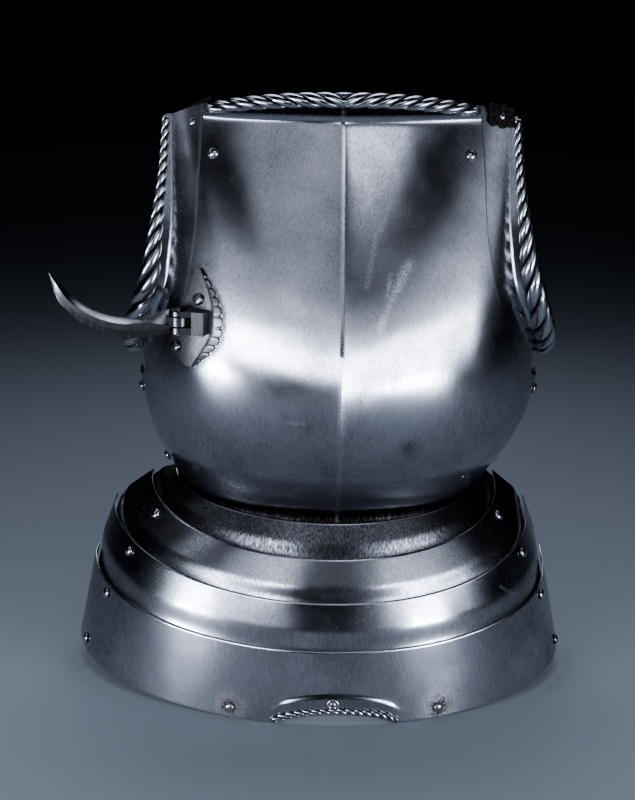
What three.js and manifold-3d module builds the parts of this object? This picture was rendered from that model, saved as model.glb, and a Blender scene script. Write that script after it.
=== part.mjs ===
// Front half of a field cuirass: a globose breastplate with roped neck and arm openings, a skirt
// of four overlapping lames, and a folding lance rest. Millimetres, +Z up, -Y in front of the
// wearer, +X to the wearer's left. The origin lies midway between the two shoulders.
import * as THREE from 'three';
import { mergeVertices } from 'three/addons/utils/BufferGeometryUtils.js';
import Module from 'manifold-3d';

const wasm = await Module();
wasm.setup();

// Driving dimensions.
const plateThickness = 2.0;
const gussetThickness = 1.6;
const lameThickness = 1.4;
const slideGap = 0.7;
const gussetGap = 1.0;
const waistGap = 1.6;
const seatGap = 0.35;
const cornerGap = 2.8;
const holeGap = 0.7;
const slotSlack = 2.6;
const squareness = 2.3;
const skirtSquareness = 2.02;
const keelRise = 5;
const keelSpread = 34;
const peakReach = 100;
const waistHeight = -365;
const waistHollow = 4;
const sideAngle = Math.PI / 2;
const lameEndAngle = 95 * Math.PI / 180;
const flangeLean = 30 * Math.PI / 180;
const gussetFlangeTurn = 45 * Math.PI / 180;
const neckReach = 130;
const neckFlange = { centre: 24, end: 5 };
const neckRope = { centreRadius: 5.8, endRadius: 3.6, pitch: 34, reach: 0.965 };
const armRopePitchPerRadius = 6.2;
const ropeLobes = 3;
const ropeRelief = 0.2;
const ropeInset = 0.04;
const notchHalfWidth = 60;
const notchRise = 0.2;
const notchRopeRadius = 3.4;
const notchRopePitch = 24;
const waistSideLift = 8;
const gussetTuck = 0.5;
const lapWidensFrom = 55 * Math.PI / 180;

const columns = { plate: 22, lame: 20, rope: 6, restPlate: 3 };
const rows = { breast: 16, gusset: 13, restPlate: 10, arm: 12 };
const ropeSteps = { neck: 44, gusset: 40, notch: 14 };
const rivetSides = 6;
const rowCrowding = 1.3;

// The breast's plan at a few heights: how far the front stands before the side plane, how far it
// is drawn out to a peak at the keel, the half width, and the sides' lean to the wearer's left.
const breastForm = [
  { height: 30, depth: 84, peak: 0, halfWidth: 194, lean: 2 },
  { height: 0, depth: 95, peak: 0, halfWidth: 196, lean: 2 },
  { height: -60, depth: 118, peak: 2, halfWidth: 197, lean: 2 },
  { height: -120, depth: 140, peak: 4, halfWidth: 198, lean: 2 },
  { height: -180, depth: 158, peak: 7, halfWidth: 198, lean: 3 },
  { height: -230, depth: 166, peak: 9, halfWidth: 197, lean: 3 },
  { height: -280, depth: 163, peak: 8, halfWidth: 190, lean: 3 },
  { height: -320, depth: 150, peak: 5, halfWidth: 176, lean: -1 },
  { height: -350, depth: 131, peak: 2, halfWidth: 158, lean: -4 },
  { height: -375, depth: 112, peak: 0, halfWidth: 148, lean: -6 },
];

// The arm opening from the shoulder down: where the breastplate's edge and the gusset's crease
// lie, as a height and a fraction of the half width, and the turned edge beyond the crease.
const armOpening = [
  { run: 0, edgeHeight: 13, edgeReach: 0.64, creaseHeight: 0, creaseReach: 0.805, flange: 2, rope: 3.2, sink: 0 },
  { run: 1, edgeHeight: -50, edgeReach: 0.66, creaseHeight: -50, creaseReach: 0.8, flange: 5, rope: 3.8, sink: 0 },
  { run: 2, edgeHeight: -105, edgeReach: 0.675, creaseHeight: -100, creaseReach: 0.8, flange: 9, rope: 5.6, sink: 0.2 },
  { run: 3, edgeHeight: -160, edgeReach: 0.73, creaseHeight: -150, creaseReach: 0.83, flange: 8, rope: 8.4, sink: 0.6 },
  { run: 4, edgeHeight: -205, edgeReach: 0.82, creaseHeight: -186, creaseReach: 0.9, flange: 6, rope: 9, sink: 1.4 },
  { run: 5, edgeHeight: -240, edgeReach: 0.91, creaseHeight: -214, creaseReach: 0.965, flange: 4, rope: 9, sink: 2.2 },
  { run: 6, edgeHeight: -264, edgeReach: 1, creaseHeight: -236, creaseReach: 1, flange: 3, rope: 7.5, sink: 2.6 },
];

// The skirt's plan along the top edge of each lame and along the bottom rim, with the same columns.
const skirtForm = [
  { line: 0, frontHeight: -380, sideHeight: -368, depth: 121, halfWidth: 149, lean: -8 },
  { line: 1, frontHeight: -411, sideHeight: -376, depth: 135, halfWidth: 172, lean: -10 },
  { line: 2, frontHeight: -450, sideHeight: -404, depth: 150, halfWidth: 207, lean: -13 },
  { line: 3, frontHeight: -495, sideHeight: -458, depth: 161, halfWidth: 227, lean: -13 },
  { line: 4, frontHeight: -566, sideHeight: -545, depth: 172, halfWidth: 244, lean: -13 },
];

// Each lame: where it starts, and how far it runs on under the next one, in lines of the skirt.
const lames = [
  { name: 'lame_1', from: 0, covers: 0.5, to: 1, tuck: 0.6 },
  { name: 'lame_2', from: 1, covers: 0.6, to: 2, tuck: 0.52 },
  { name: 'lame_3', from: 2, covers: 0.52, to: 3, tuck: 0.34 },
  { name: 'lame_4', from: 3, covers: 0.34, to: 4, tuck: 0 },
];

// Rivets and screws by kind, in their own sizes.
const rivetKinds = {
  domed: { head: 5.2, rise: 3.4, shank: 2.1, tail: 3.6, tailRise: 1, crown: 0.7 },
  small: { head: 3.2, rise: 1.2, shank: 1.4, tail: 2.4, tailRise: 0.8, crown: 0.75 },
  flat: { head: 6, rise: 1.4, shank: 2.1, tail: 3.6, tailRise: 1, crown: 0.95 },
  screw: { head: 5.4, rise: 3, shank: 2.4, tail: 2.4, tailRise: 0.1, crown: 0.75 },
};

// Where each rivet stands: on the breast (angle from the keel in degrees, and height) or on the
// skirt (angle, and line), what it goes through, how thick that is, and how far its seat is
// lifted off the skin. Sides: -1 is the wearer's right, 1 the left. A slot lets a gusset slide.
const bothSides = [-1, 1];
const rivets = [
  { name: 'neck_rivet', kind: 'domed', on: 'breast', degrees: 33.5, at: -31, grip: 5.8, sides: bothSides,
    through: ['breastplate', 'gusset'], slot: 9 },
  { name: 'gusset_pivot', kind: 'domed', on: 'breast', degrees: 80, at: -270, grip: 11.5, sides: bothSides,
    through: ['breastplate', 'gusset'] },
  { name: 'side_strap_rivet', kind: 'domed', on: 'breast', degrees: 81.5, at: -344, grip: 5.4, sides: bothSides,
    through: ['breastplate'], lift: 1 },
  { name: 'waist_rivet', kind: 'small', on: 'breast', degrees: 43.4, at: -337, grip: 2.8, sides: [1],
    through: ['breastplate'] },
  { name: 'lame_2_pivot', kind: 'domed', on: 'skirt', degrees: 68.5, at: 1.26, grip: 5.2, sides: bothSides,
    through: ['lame_2', 'lame_1'] },
  { name: 'lame_3_pivot', kind: 'domed', on: 'skirt', degrees: 66.5, at: 2.2, grip: 5.6, sides: bothSides,
    through: ['lame_3', 'lame_2'] },
  { name: 'lame_4_pivot', kind: 'domed', on: 'skirt', degrees: 70.5, at: 3.12, grip: 6, sides: bothSides,
    through: ['lame_4', 'lame_3'] },
  { name: 'hem_side_rivet', kind: 'domed', on: 'skirt', degrees: 79, at: 3.88, grip: 2.4, sides: bothSides,
    through: ['lame_4'] },
  { name: 'hem_front_rivet', kind: 'domed', on: 'skirt', degrees: 24.3, at: 3.865, grip: 2.2,
    sides: bothSides, through: ['lame_4'] },
  { name: 'hem_middle_rivet', kind: 'flat', on: 'skirt', degrees: 0.6, at: 3.71, grip: 3.2, lift: 0.9, sides: [-1],
    through: ['lame_4'] },
  { name: 'strap_rivet_right', kind: 'small', on: 'breast', degrees: 42, at: -5, grip: 6.6, sides: [-1],
    through: ['gusset', 'strap_stub_right'], lift: -3 },
  { name: 'strap_rivet_left', kind: 'small', on: 'breast', degrees: 45.8, at: 1, grip: 5.6, sides: [1],
    through: ['strap_stub_left', 'gusset'], lift: 0.8 },
  { name: 'lance_rest_screw_upper', kind: 'screw', on: 'breast', degrees: 37.4, at: -159, grip: 5.1,
    sides: [-1], through: ['lance_rest_base', 'breastplate'], lift: 3.3 },
  { name: 'lance_rest_screw_lower', kind: 'screw', on: 'breast', degrees: 46.2, at: -205, grip: 5.1,
    sides: [-1], through: ['lance_rest_base', 'breastplate'], lift: 3.3 },
];

// Lance rest: the plate on the breast as a leaf between a straight chord and a bowed edge, both
// as distances to the wearer's right of the keel.
const restPlateForm = [
  { row: 0, height: -132, chord: 131, edge: 126 },
  { row: 1, height: -149, chord: 136, edge: 116 },
  { row: 2, height: -166, chord: 142, edge: 109.5 },
  { row: 3, height: -188, chord: 150, edge: 109 },
  { row: 4, height: -205, chord: 156, edge: 118 },
  { row: 5, height: -221, chord: 141, edge: 134 },
];
const restPlateThickness = 3;
const hinge = { x: -147, y: -134, pin: 3, pinHole: 3.35, knuckle: 8.5, splitGap: 0.35 };
const hingeHeights = { top: -166.5, upperSplit: -171.5, lowerSplit: -181.5, bottom: -188.5 };

// The arm of the rest, by distance from the hinge pin: heights of its lower edge and of the
// front and back of its upper face, and half its thickness front to back.
const armForm = [
  { reach: 9.6, low: -187, frontTop: -179, backTop: -168, half: 8.5 },
  { reach: 20, low: -190, frontTop: -177.5, backTop: -172, half: 9 },
  { reach: 32, low: -192, frontTop: -176.5, backTop: -176, half: 9 },
  { reach: 50, low: -191.5, frontTop: -178, backTop: -177, half: 9 },
  { reach: 70, low: -186.5, frontTop: -174, backTop: -173, half: 8.5 },
  { reach: 86, low: -179, frontTop: -166.5, backTop: -165, half: 8 },
  { reach: 100, low: -168.5, frontTop: -156, backTop: -153.5, half: 6.5 },
  { reach: 110, low: -156, frontTop: -142.5, backTop: -140, half: 4.5 },
  { reach: 117, low: -134.5, frontTop: -132, backTop: -131, half: 1.4 },
];

// Leather left of the two shoulder straps, as outlines on the gussets' tops: across toward the
// neck, and up.
const strapThickness = 2.6;
const strapStubs = [
  { name: 'strap_stub_right', side: -1, degrees: 42, at: -8, lift: -8.9,
    outline: [[-17, -22], [17, -22], [17, 27.5], [2, 21], [-17, 14.5]] },
  { name: 'strap_stub_left', side: 1, degrees: 45.8, at: 1, lift: -1.9,
    outline: [[-13, -10], [-7, -8], [-2, -11], [4, -7], [9, -9], [14, -4], [13, 3], [15, 9], [9, 13],
      [3, 10], [-4, 12], [-9, 8], [-14, 9], [-12, 0]] },
];

const steel = new THREE.MeshStandardMaterial({ color: 0x8d949b, roughness: 0.32, metalness: 1 });
const rivetSteel = new THREE.MeshStandardMaterial({ color: 0xa3a8ac, roughness: 0.28, metalness: 1 });
const forgedSteel = new THREE.MeshStandardMaterial({ color: 0x84898e, roughness: 0.4, metalness: 1 });
const leather = new THREE.MeshStandardMaterial({ color: 0x3a2620, roughness: 0.85, metalness: 0 });

// Reads one column of a table at a place between its rows, along a smooth curve through them.
function along(table, key, column, place) {
  const rising = table[1][key] > table[0][key] ? 1 : -1;
  let i = 0;
  while (i < table.length - 2 && (place - table[i + 1][key]) * rising > 0) i += 1;
  const slope = (a, b) => (table[b][column] - table[a][column]) / (table[b][key] - table[a][key]);
  const startSlope = slope(Math.max(i - 1, 0), i + 1);
  const endSlope = slope(i, Math.min(i + 2, table.length - 1));
  const span = table[i + 1][key] - table[i][key];
  const t = THREE.MathUtils.clamp((place - table[i][key]) / span, 0, 1);
  const start = table[i][column] * (1 + 2 * t) * (1 - t) ** 2 + startSlope * span * t * (1 - t) ** 2;
  const end = table[i + 1][column] * t * t * (3 - 2 * t) + endSlope * span * t * t * (t - 1);
  return start + end;
}

const power = (base, exponent) => Math.sign(base) * Math.abs(base) ** exponent;
const angleAtReach = (reach) => Math.asin(Math.min(reach, 1) ** (squareness / 2));

// One point of a rounded-square section: angle 0 is in front, a right angle is at the side.
function sectionPoint(angle, depth, halfWidth, roundness) {
  const x = halfWidth * power(Math.sin(angle), 2 / roundness);
  const y = -depth * power(Math.cos(angle), 2 / roundness);
  return new THREE.Vector2(x, y);
}

// The hammered plates sit a little askew: their sides lean while the middle stays put.
const sideLean = (lean, forward) => lean * (1 - Math.abs(forward));

// The outer face of the breast, with its keel.
function breastSkin(angle, height) {
  const at = (column) => along(breastForm, 'height', column, height);
  const flat = sectionPoint(angle, at('depth'), at('halfWidth'), squareness);
  const inward = Math.max(1 - Math.abs(flat.x) / peakReach, 0);
  const keel = keelRise * Math.exp(-Math.abs(flat.x) / keelSpread) + at('peak') * inward * inward;
  return new THREE.Vector3(flat.x + sideLean(at('lean'), flat.y / at('depth')), flat.y - keel, height);
}

// The outer face of the skirt.
function skirtSkin(angle, line) {
  const at = (column) => along(skirtForm, 'line', column, line);
  const flat = sectionPoint(angle, at('depth'), at('halfWidth'), skirtSquareness);
  const height = THREE.MathUtils.lerp(at('sideHeight'), at('frontHeight'), -flat.y / at('depth'));
  return new THREE.Vector3(flat.x + sideLean(at('lean'), flat.y / at('depth')), flat.y, height);
}

// A point at a distance outside a skin, along the skin's normal there.
function offsetPoint(skin, u, v, offset) {
  const step = 0.01;
  const alongU = skin(u + step, v).sub(skin(u - step, v));
  const alongV = skin(u, v + step).sub(skin(u, v - step));
  const point = skin(u, v);
  const normal = alongU.cross(alongV).normalize();
  if (normal.dot(new THREE.Vector3(point.x, point.y, 0)) < 0) normal.negate();
  return point.addScaledVector(normal, offset);
}

function normalAt(skin, u, v) {
  return offsetPoint(skin, u, v, 1).sub(skin(u, v));
}

// Merges shared vertices, drops slivers of no area, and turns the faces outward.
function closed(geometry) {
  const plain = new THREE.BufferGeometry();
  plain.setAttribute('position', geometry.getAttribute('position').clone());
  plain.setIndex(geometry.index ? Array.from(geometry.index.array) : null);
  const merged = mergeVertices(plain, 1e-4);
  const corners = merged.index.array;
  const points = merged.getAttribute('position');
  const corner = (i) => new THREE.Vector3().fromBufferAttribute(points, i);
  const kept = [];
  let volume = 0;
  for (let i = 0; i < corners.length; i += 3) {
    const [a, b, c] = [corners[i], corners[i + 1], corners[i + 2]];
    if (a === b || b === c || c === a) continue;
    kept.push(a, b, c);
    volume += corner(a).dot(corner(b).cross(corner(c)));
  }
  merged.setIndex(volume < 0 ? kept.reverse() : kept);
  return merged;
}

function solidOf(geometry) {
  const source = closed(geometry);
  return new wasm.Manifold(new wasm.Mesh({
    numProp: 3,
    vertProperties: new Float32Array(source.getAttribute('position').array),
    triVerts: new Uint32Array(source.index.array),
  }));
}

function geometryOf(solid) {
  const mesh = solid.getMesh();
  const geometry = new THREE.BufferGeometry();
  geometry.setAttribute('position', new THREE.BufferAttribute(new Float32Array(mesh.vertProperties), 3));
  geometry.setIndex(Array.from(mesh.triVerts));
  return geometry;
}

// A closed sheet between two faces, each given as a grid of points.
function sheet(columnCount, rowCount, outerPoint, innerPoint) {
  const positions = [];
  const index = [];
  const wide = columnCount + 1;
  const face = wide * (rowCount + 1);
  for (const pointAt of [outerPoint, innerPoint]) {
    for (let row = 0; row <= rowCount; row += 1) {
      for (let column = 0; column <= columnCount; column += 1) {
        positions.push(...pointAt(column, row).toArray());
      }
    }
  }
  const at = (i) => new THREE.Vector3().fromArray(positions, i * 3);
  const quad = (a, b, c, d) => index.push(a, b, c, a, c, d);
  for (let row = 0; row < rowCount; row += 1) {
    for (let column = 0; column < columnCount; column += 1) {
      const a = row * wide + column;
      const [b, c, d] = [a + 1, a + 1 + wide, a + wide];
      if (at(a).distanceTo(at(c)) < at(b).distanceTo(at(d))) {
        quad(a, b, c, d);
        quad(face + c, face + b, face + a, face + d);
      } else {
        quad(b, c, d, a);
        quad(face + b, face + a, face + d, face + c);
      }
    }
  }
  for (let column = 0; column < columnCount; column += 1) {
    const bottom = rowCount * wide + column;
    quad(column + 1, column, face + column, face + column + 1);
    quad(bottom, bottom + 1, face + bottom + 1, face + bottom);
  }
  for (let row = 0; row < rowCount; row += 1) {
    const left = row * wide;
    const right = left + columnCount;
    quad(left, left + wide, face + left + wide, face + left);
    quad(right + wide, right, face + right, face + right + wide);
  }
  const geometry = new THREE.BufferGeometry();
  geometry.setAttribute('position', new THREE.Float32BufferAttribute(positions, 3));
  geometry.setIndex(index);
  return geometry;
}

// A closed body through rings of points, each quad split along its shorter diagonal.
function loft(rings) {
  const sides = rings[0].length;
  const points = rings.flat();
  const index = [];
  for (let ring = 0; ring < rings.length - 1; ring += 1) {
    for (let k = 0; k < sides; k += 1) {
      const a = ring * sides + k;
      const b = ring * sides + (k + 1) % sides;
      const [c, d] = [b + sides, a + sides];
      const firstIsShort = points[a].distanceTo(points[c]) < points[b].distanceTo(points[d]);
      index.push(...(firstIsShort ? [a, b, c, a, c, d] : [a, b, d, b, c, d]));
    }
  }
  const last = (rings.length - 1) * sides;
  for (let k = 1; k < sides - 1; k += 1) {
    index.push(0, k + 1, k, last, last + k, last + k + 1);
  }
  const geometry = new THREE.BufferGeometry();
  geometry.setFromPoints(points);
  geometry.setIndex(index);
  return geometry;
}

// A roped bead: a lobed section that turns as it runs along a path. hand is 1 or -1, and the
// turn of a mirrored bead runs the other way past its middle.
function ropeBead({ path, radiusAt, pitchAt, steps, mirrored, hand }) {
  const places = Array.from({ length: steps + 1 }, (_, step) => path(step / steps));
  const turns = [0];
  for (let step = 0; step < steps; step += 1) {
    const run = places[step].distanceTo(places[step + 1]);
    turns.push(turns[step] + run / pitchAt(step / steps) * 2 * Math.PI);
  }
  const middleTurn = turns[Math.round(steps / 2)];
  const rings = places.map((place, step) => {
    const before = places[Math.max(step - 1, 0)];
    const after = places[Math.min(step + 1, steps)];
    const tangent = after.clone().sub(before).normalize();
    const side = new THREE.Vector3(0, -1, 0).cross(tangent).normalize();
    const up = tangent.clone().cross(side);
    const twist = hand * (mirrored ? Math.abs(turns[step] - middleTurn) : turns[step]);
    const taper = step === 0 || step === steps ? 0.55 : 1;
    return Array.from({ length: columns.rope }, (_, k) => {
      const round = k / columns.rope * 2 * Math.PI;
      const radius = radiusAt(step / steps) * taper * (1 + ropeRelief * Math.cos(ropeLobes * round));
      const point = place.clone().addScaledVector(side, radius * Math.cos(round + twist));
      return point.addScaledVector(up, radius * Math.sin(round + twist));
    });
  });
  return loft(rings);
}

// Turns a geometry made along +Y so that it stands along a direction at a point, its X level.
function stand(geometry, point, direction) {
  const level = new THREE.Vector3().crossVectors(direction, new THREE.Vector3(0, 0, 1)).normalize();
  const basis = new THREE.Matrix4().makeBasis(level, direction, level.clone().cross(direction));
  return geometry.clone().applyMatrix4(basis).translate(point.x, point.y, point.z);
}

// ---- Breastplate ----

const neckRise = (x) => {
  const inward = Math.max(1 - (x / neckReach) ** 2, 0) ** 0.8;
  return THREE.MathUtils.lerp(neckFlange.end, neckFlange.centre, inward);
};

// Rows run down the plate: -1 to 0 is the turned neck, 0 to 1 the breast, 1 to 2 the waist.
function plateSkin(across, row) {
  if (row < 0) {
    const crease = plateSkin(across, 0);
    const rise = neckRise(crease.x) * -row;
    return crease.add(new THREE.Vector3(0, -Math.sin(flangeLean) * rise, Math.cos(flangeLean) * rise));
  }
  if (row <= 1) {
    const edge = along(armOpening, 'edgeHeight', 'edgeReach', waistHeight * row);
    const angle = across * angleAtReach(edge);
    const sideLift = waistSideLift * row * (1 - power(Math.cos(angle), 2 / squareness));
    return breastSkin(angle, waistHeight * row + sideLift);
  }
  const under = -(lameThickness + waistGap);
  const tucked = offsetPoint(skirtSkin, across * sideAngle, Math.max(row - 1.5, 0), under);
  if (row >= 1.5) return tucked;
  const t = (row - 1) * 2;
  const point = plateSkin(across, 1).lerp(tucked, t);
  const inward = new THREE.Vector3(-point.x, -point.y, 0).normalize();
  return point.addScaledVector(inward, waistHollow * 4 * t * (1 - t));
}

function breastplate() {
  const stops = [-1, -0.5];
  for (let i = 0; i <= rows.breast; i += 1) stops.push(i / rows.breast);
  stops.push(1.25, 1.5, 1.95);
  const place = (offset) => (column, row) => {
    const across = column / columns.plate * 2 - 1;
    return offsetPoint(plateSkin, across, stops[row], offset);
  };
  const shell = solidOf(sheet(columns.plate, stops.length - 1, place(0), place(-plateThickness)));
  const path = (t) => offsetPoint(plateSkin, (t * 2 - 1) * neckRope.reach, -1, -plateThickness / 2);
  const radiusAt = (t) => {
    const inward = 1 - (t * 2 - 1) ** 2;
    return THREE.MathUtils.lerp(neckRope.endRadius, neckRope.centreRadius, Math.sqrt(inward));
  };
  const pitchAt = () => neckRope.pitch;
  const rope = ropeBead({ path, radiusAt, pitchAt, steps: ropeSteps.neck, mirrored: true, hand: -1 });
  return shell.add(solidOf(rope));
}

// ---- Gussets ----

// side is -1 on the wearer's right, 1 on the left. across runs from the edge hidden under the
// breastplate (0) to the crease (1) and on over the turned edge (2).
function gussetSkin(side) {
  const at = (column, run) => along(armOpening, 'run', column, run);
  return (across, run) => {
    const under = -(plateThickness + gussetGap + at('sink', run));
    const seat = (angle, height) => offsetPoint(breastSkin, side * angle, height, under);
    const edgeAngle = angleAtReach(at('edgeReach', run));
    const creaseAngle = angleAtReach(at('creaseReach', run));
    const t = Math.min(across, 1) * (1 + gussetTuck) - gussetTuck;
    const angle = THREE.MathUtils.lerp(edgeAngle, creaseAngle, t);
    const drop = at('edgeHeight', run) - at('creaseHeight', run);
    const height = at('edgeHeight', run) - (t < 0 ? 2 * Math.abs(drop * t) : drop * t);
    const point = seat(angle, height);
    if (across <= 1) return point;
    const outward = point.clone().sub(seat(angle - 0.05, height)).normalize();
    const turned = outward.multiplyScalar(Math.cos(gussetFlangeTurn));
    turned.addScaledVector(normalAt(breastSkin, side * angle, height), Math.sin(gussetFlangeTurn));
    const reach = (at('flange', run) + at('rope', run)) * (across - 1);
    return point.addScaledVector(turned.normalize(), reach);
  };
}

function gusset(side) {
  const skin = gussetSkin(side);
  const stops = [0, 0.25, 0.5, 0.75, 1, 1.5, 2];
  const runs = armOpening.length - 1;
  const place = (offset) => (column, row) => {
    const run = runs * (1 - (1 - row / rows.gusset) ** rowCrowding);
    return offsetPoint(skin, stops[column], run, offset);
  };
  const shell = solidOf(sheet(stops.length - 1, rows.gusset, place(0), place(-gussetThickness)));
  const runAt = (t) => THREE.MathUtils.lerp(ropeInset, runs - ropeInset, t);
  const path = (t) => offsetPoint(skin, 2, runAt(t), -gussetThickness / 2);
  const radiusAt = (t) => along(armOpening, 'run', 'rope', runAt(t));
  const pitchAt = (t) => radiusAt(t) * armRopePitchPerRadius;
  const rope = ropeBead({ path, radiusAt, pitchAt, steps: ropeSteps.gusset, mirrored: false, hand: 1 });
  return shell.add(solidOf(rope));
}

// ---- Skirt ----

// The gap to the plate beneath widens toward the back corners, so that the lames can turn.
function lapDrop(angle) {
  const back = THREE.MathUtils.smoothstep(Math.abs(angle), lapWidensFrom, lameEndAngle);
  return lameThickness + slideGap + cornerGap * back;
}

function lamePoint(lame, angle, line, depth) {
  const sunk = THREE.MathUtils.smoothstep(line, lame.from + lame.covers, lame.to);
  const drop = lame.tuck > 0 ? lapDrop(angle) * sunk : 0;
  return offsetPoint(skirtSkin, angle, line, -drop - depth);
}

// How far the arched cut-out in the middle of the rim runs up the last lame, in lines.
function notchLift(x) {
  const middle = Math.max(1 - (x / notchHalfWidth) ** 2, 0);
  return notchRise * middle ** 0.6;
}

function lameSolid(lame) {
  const lapEnd = lame.from + lame.covers;
  const stops = [lame.from, lapEnd, (lapEnd + lame.to) / 2, lame.to];
  if (lame.tuck > 0) stops.push(lame.to + lame.tuck);
  const last = lame === lames[lames.length - 1];
  const place = (depth) => (column, row) => {
    const angle = (column / columns.lame * 2 - 1) * lameEndAngle;
    const cut = last && row === stops.length - 1 ? notchLift(skirtSkin(angle, lame.to).x) : 0;
    return lamePoint(lame, angle, stops[row] - cut, depth);
  };
  const shell = solidOf(sheet(columns.lame, stops.length - 1, place(0), place(lameThickness)));
  if (!last) return shell;
  const path = (t) => {
    const x = (t * 2 - 1) * notchHalfWidth * 0.99;
    const angle = Math.asin(x / along(skirtForm, 'line', 'halfWidth', lame.to));
    return lamePoint(lame, angle, lame.to - notchLift(x), lameThickness / 2);
  };
  const [radiusAt, pitchAt] = [() => notchRopeRadius, () => notchRopePitch];
  const rope = ropeBead({ path, radiusAt, pitchAt, steps: ropeSteps.notch, mirrored: false, hand: 1 });
  return shell.add(solidOf(rope));
}

// ---- Rivets ----

// A rivet or screw along +Y: its head above the seat at 0, its peened tail below the grip.
function rivetGeometry(kind, grip) {
  const bottom = -grip - 2 * seatGap;
  const profile = [
    [0, bottom - kind.tailRise],
    [kind.tail, bottom - kind.tailRise],
    [kind.tail, bottom],
    [kind.shank, bottom],
    [kind.shank, 0],
    [kind.head, 0],
    [kind.head * kind.crown, kind.rise * 0.85],
    [0, kind.rise],
  ];
  return new THREE.LatheGeometry(profile.map(([r, y]) => new THREE.Vector2(r, y)), rivetSides);
}

// Stands a rivet on its skin and drills every plate that it goes through.
function setRivet(solids, rivet, side) {
  const kind = rivetKinds[rivet.kind];
  const skin = rivet.on === 'skirt' ? skirtSkin : breastSkin;
  const angle = side * THREE.MathUtils.degToRad(rivet.degrees);
  const normal = normalAt(skin, angle, rivet.at);
  const seat = skin(angle, rivet.at).addScaledVector(normal, seatGap + (rivet.lift ?? 0));
  for (const plate of rivet.through) {
    const name = plate === 'gusset' ? `gusset_${side < 0 ? 'right' : 'left'}` : plate;
    const slot = plate === 'gusset' && rivet.slot ? rivet.slot / 2 : 0;
    const radius = kind.shank + (slot ? slotSlack : holeGap);
    const hole = new THREE.CylinderGeometry(radius, radius, 20, slot ? 2 * rivetSides : rivetSides);
    hole.scale(1 + slot / radius, 1, 1);
    const place = seat.clone().add(new THREE.Vector3(side * slot, 0, 0));
    solids[name] = solids[name].subtract(solidOf(stand(hole, place, normal)));
  }
  return solidOf(stand(rivetGeometry(kind, rivet.grip), seat, normal));
}

// ---- Lance rest ----

function restPlateSkin(across, row) {
  const at = (column) => along(restPlateForm, 'row', column, row);
  const halfWidth = along(breastForm, 'height', 'halfWidth', at('height'));
  const reach = THREE.MathUtils.lerp(at('edge'), at('chord'), across) / halfWidth;
  return breastSkin(-angleAtReach(reach), at('height'));
}

// A plan outline raised between two heights.
function slab(outline, bottom, top) {
  const shape = new THREE.Shape(outline.map(([x, y]) => new THREE.Vector2(x, y)));
  const settings = { depth: top - bottom, bevelEnabled: false };
  return solidOf(new THREE.ExtrudeGeometry(shape, settings).translate(0, 0, bottom));
}

function post(radius, bottom, top, sides = 14) {
  const cylinder = new THREE.CylinderGeometry(radius, radius, top - bottom, sides);
  return solidOf(cylinder.rotateX(Math.PI / 2).translate(hinge.x, hinge.y, (bottom + top) / 2));
}

// The plate, with a block that carries the upper and lower knuckles of the hinge.
function lanceRestBase() {
  const last = restPlateForm.length - 1;
  const place = (offset) => (column, row) => {
    return offsetPoint(restPlateSkin, column / columns.restPlate, row / rows.restPlate * last, offset);
  };
  const between = (outer, inner) => solidOf(sheet(columns.restPlate, rows.restPlate, place(outer), place(inner)));
  const { x, y } = hinge;
  const block = [[x + 11, y - 9], [x + 22, y - 12], [x + 28, y + 10], [x + 14, y + 18]];
  const leaf = [[x + 1, y - 8.4], [x + 11, y - 9], [x + 14, y + 8], [x + 1, y + 8.4]];
  const { top, upperSplit, lowerSplit, bottom } = hingeHeights;
  let carrier = slab(block, bottom, top);
  for (const [low, high] of [[upperSplit, top], [bottom, lowerSplit]]) {
    carrier = carrier.add(slab(leaf, low, high)).add(post(hinge.knuckle, low, high));
  }
  const inside = between(seatGap, -30);
  return between(seatGap + restPlateThickness, seatGap)
    .add(carrier.subtract(inside))
    .subtract(post(hinge.pinHole, bottom - 1, top + 1));
}

function lanceRestArm() {
  const [first, last] = [armForm[0].reach, armForm[armForm.length - 1].reach];
  const rings = [];
  for (let row = 0; row <= rows.arm; row += 1) {
    const reach = THREE.MathUtils.lerp(first, last, row / rows.arm);
    const at = (column) => along(armForm, 'reach', column, reach);
    const corner = (depth, height) => new THREE.Vector3(hinge.x - reach, hinge.y + depth * at('half'), height);
    rings.push([
      corner(-1, at('low')),
      corner(-1, at('frontTop')),
      corner(1, at('backTop')),
      corner(1, at('low')),
    ]);
  }
  const top = hingeHeights.upperSplit - hinge.splitGap;
  const bottom = hingeHeights.lowerSplit + hinge.splitGap;
  const { x, y } = hinge;
  const link = [[x - 12, y - 7], [x, y - 7], [x, y + 7], [x - 12, y + 7]];
  return solidOf(loft(rings))
    .add(slab(link, bottom, top))
    .add(post(hinge.knuckle, bottom, top))
    .subtract(post(hinge.pinHole, bottom - 20, top + 20));
}

// ---- Shoulder straps' stubs ----

function strapStub({ side, degrees, at, lift, outline }) {
  const angle = side * THREE.MathUtils.degToRad(degrees);
  const normal = normalAt(breastSkin, angle, at);
  const up = breastSkin(angle, at + 1).sub(breastSkin(angle, at)).normalize();
  const across = up.clone().cross(normal);
  const shape = new THREE.Shape(outline.map(([x, y]) => new THREE.Vector2(-side * x, y)));
  const flat = new THREE.ExtrudeGeometry(shape, { depth: strapThickness, bevelEnabled: false });
  flat.applyMatrix4(new THREE.Matrix4().makeBasis(across, up, normal));
  const place = breastSkin(angle, at).addScaledVector(normal, lift);
  return solidOf(flat.translate(place.x, place.y, place.z));
}

// ---- Assembly ----

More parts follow.
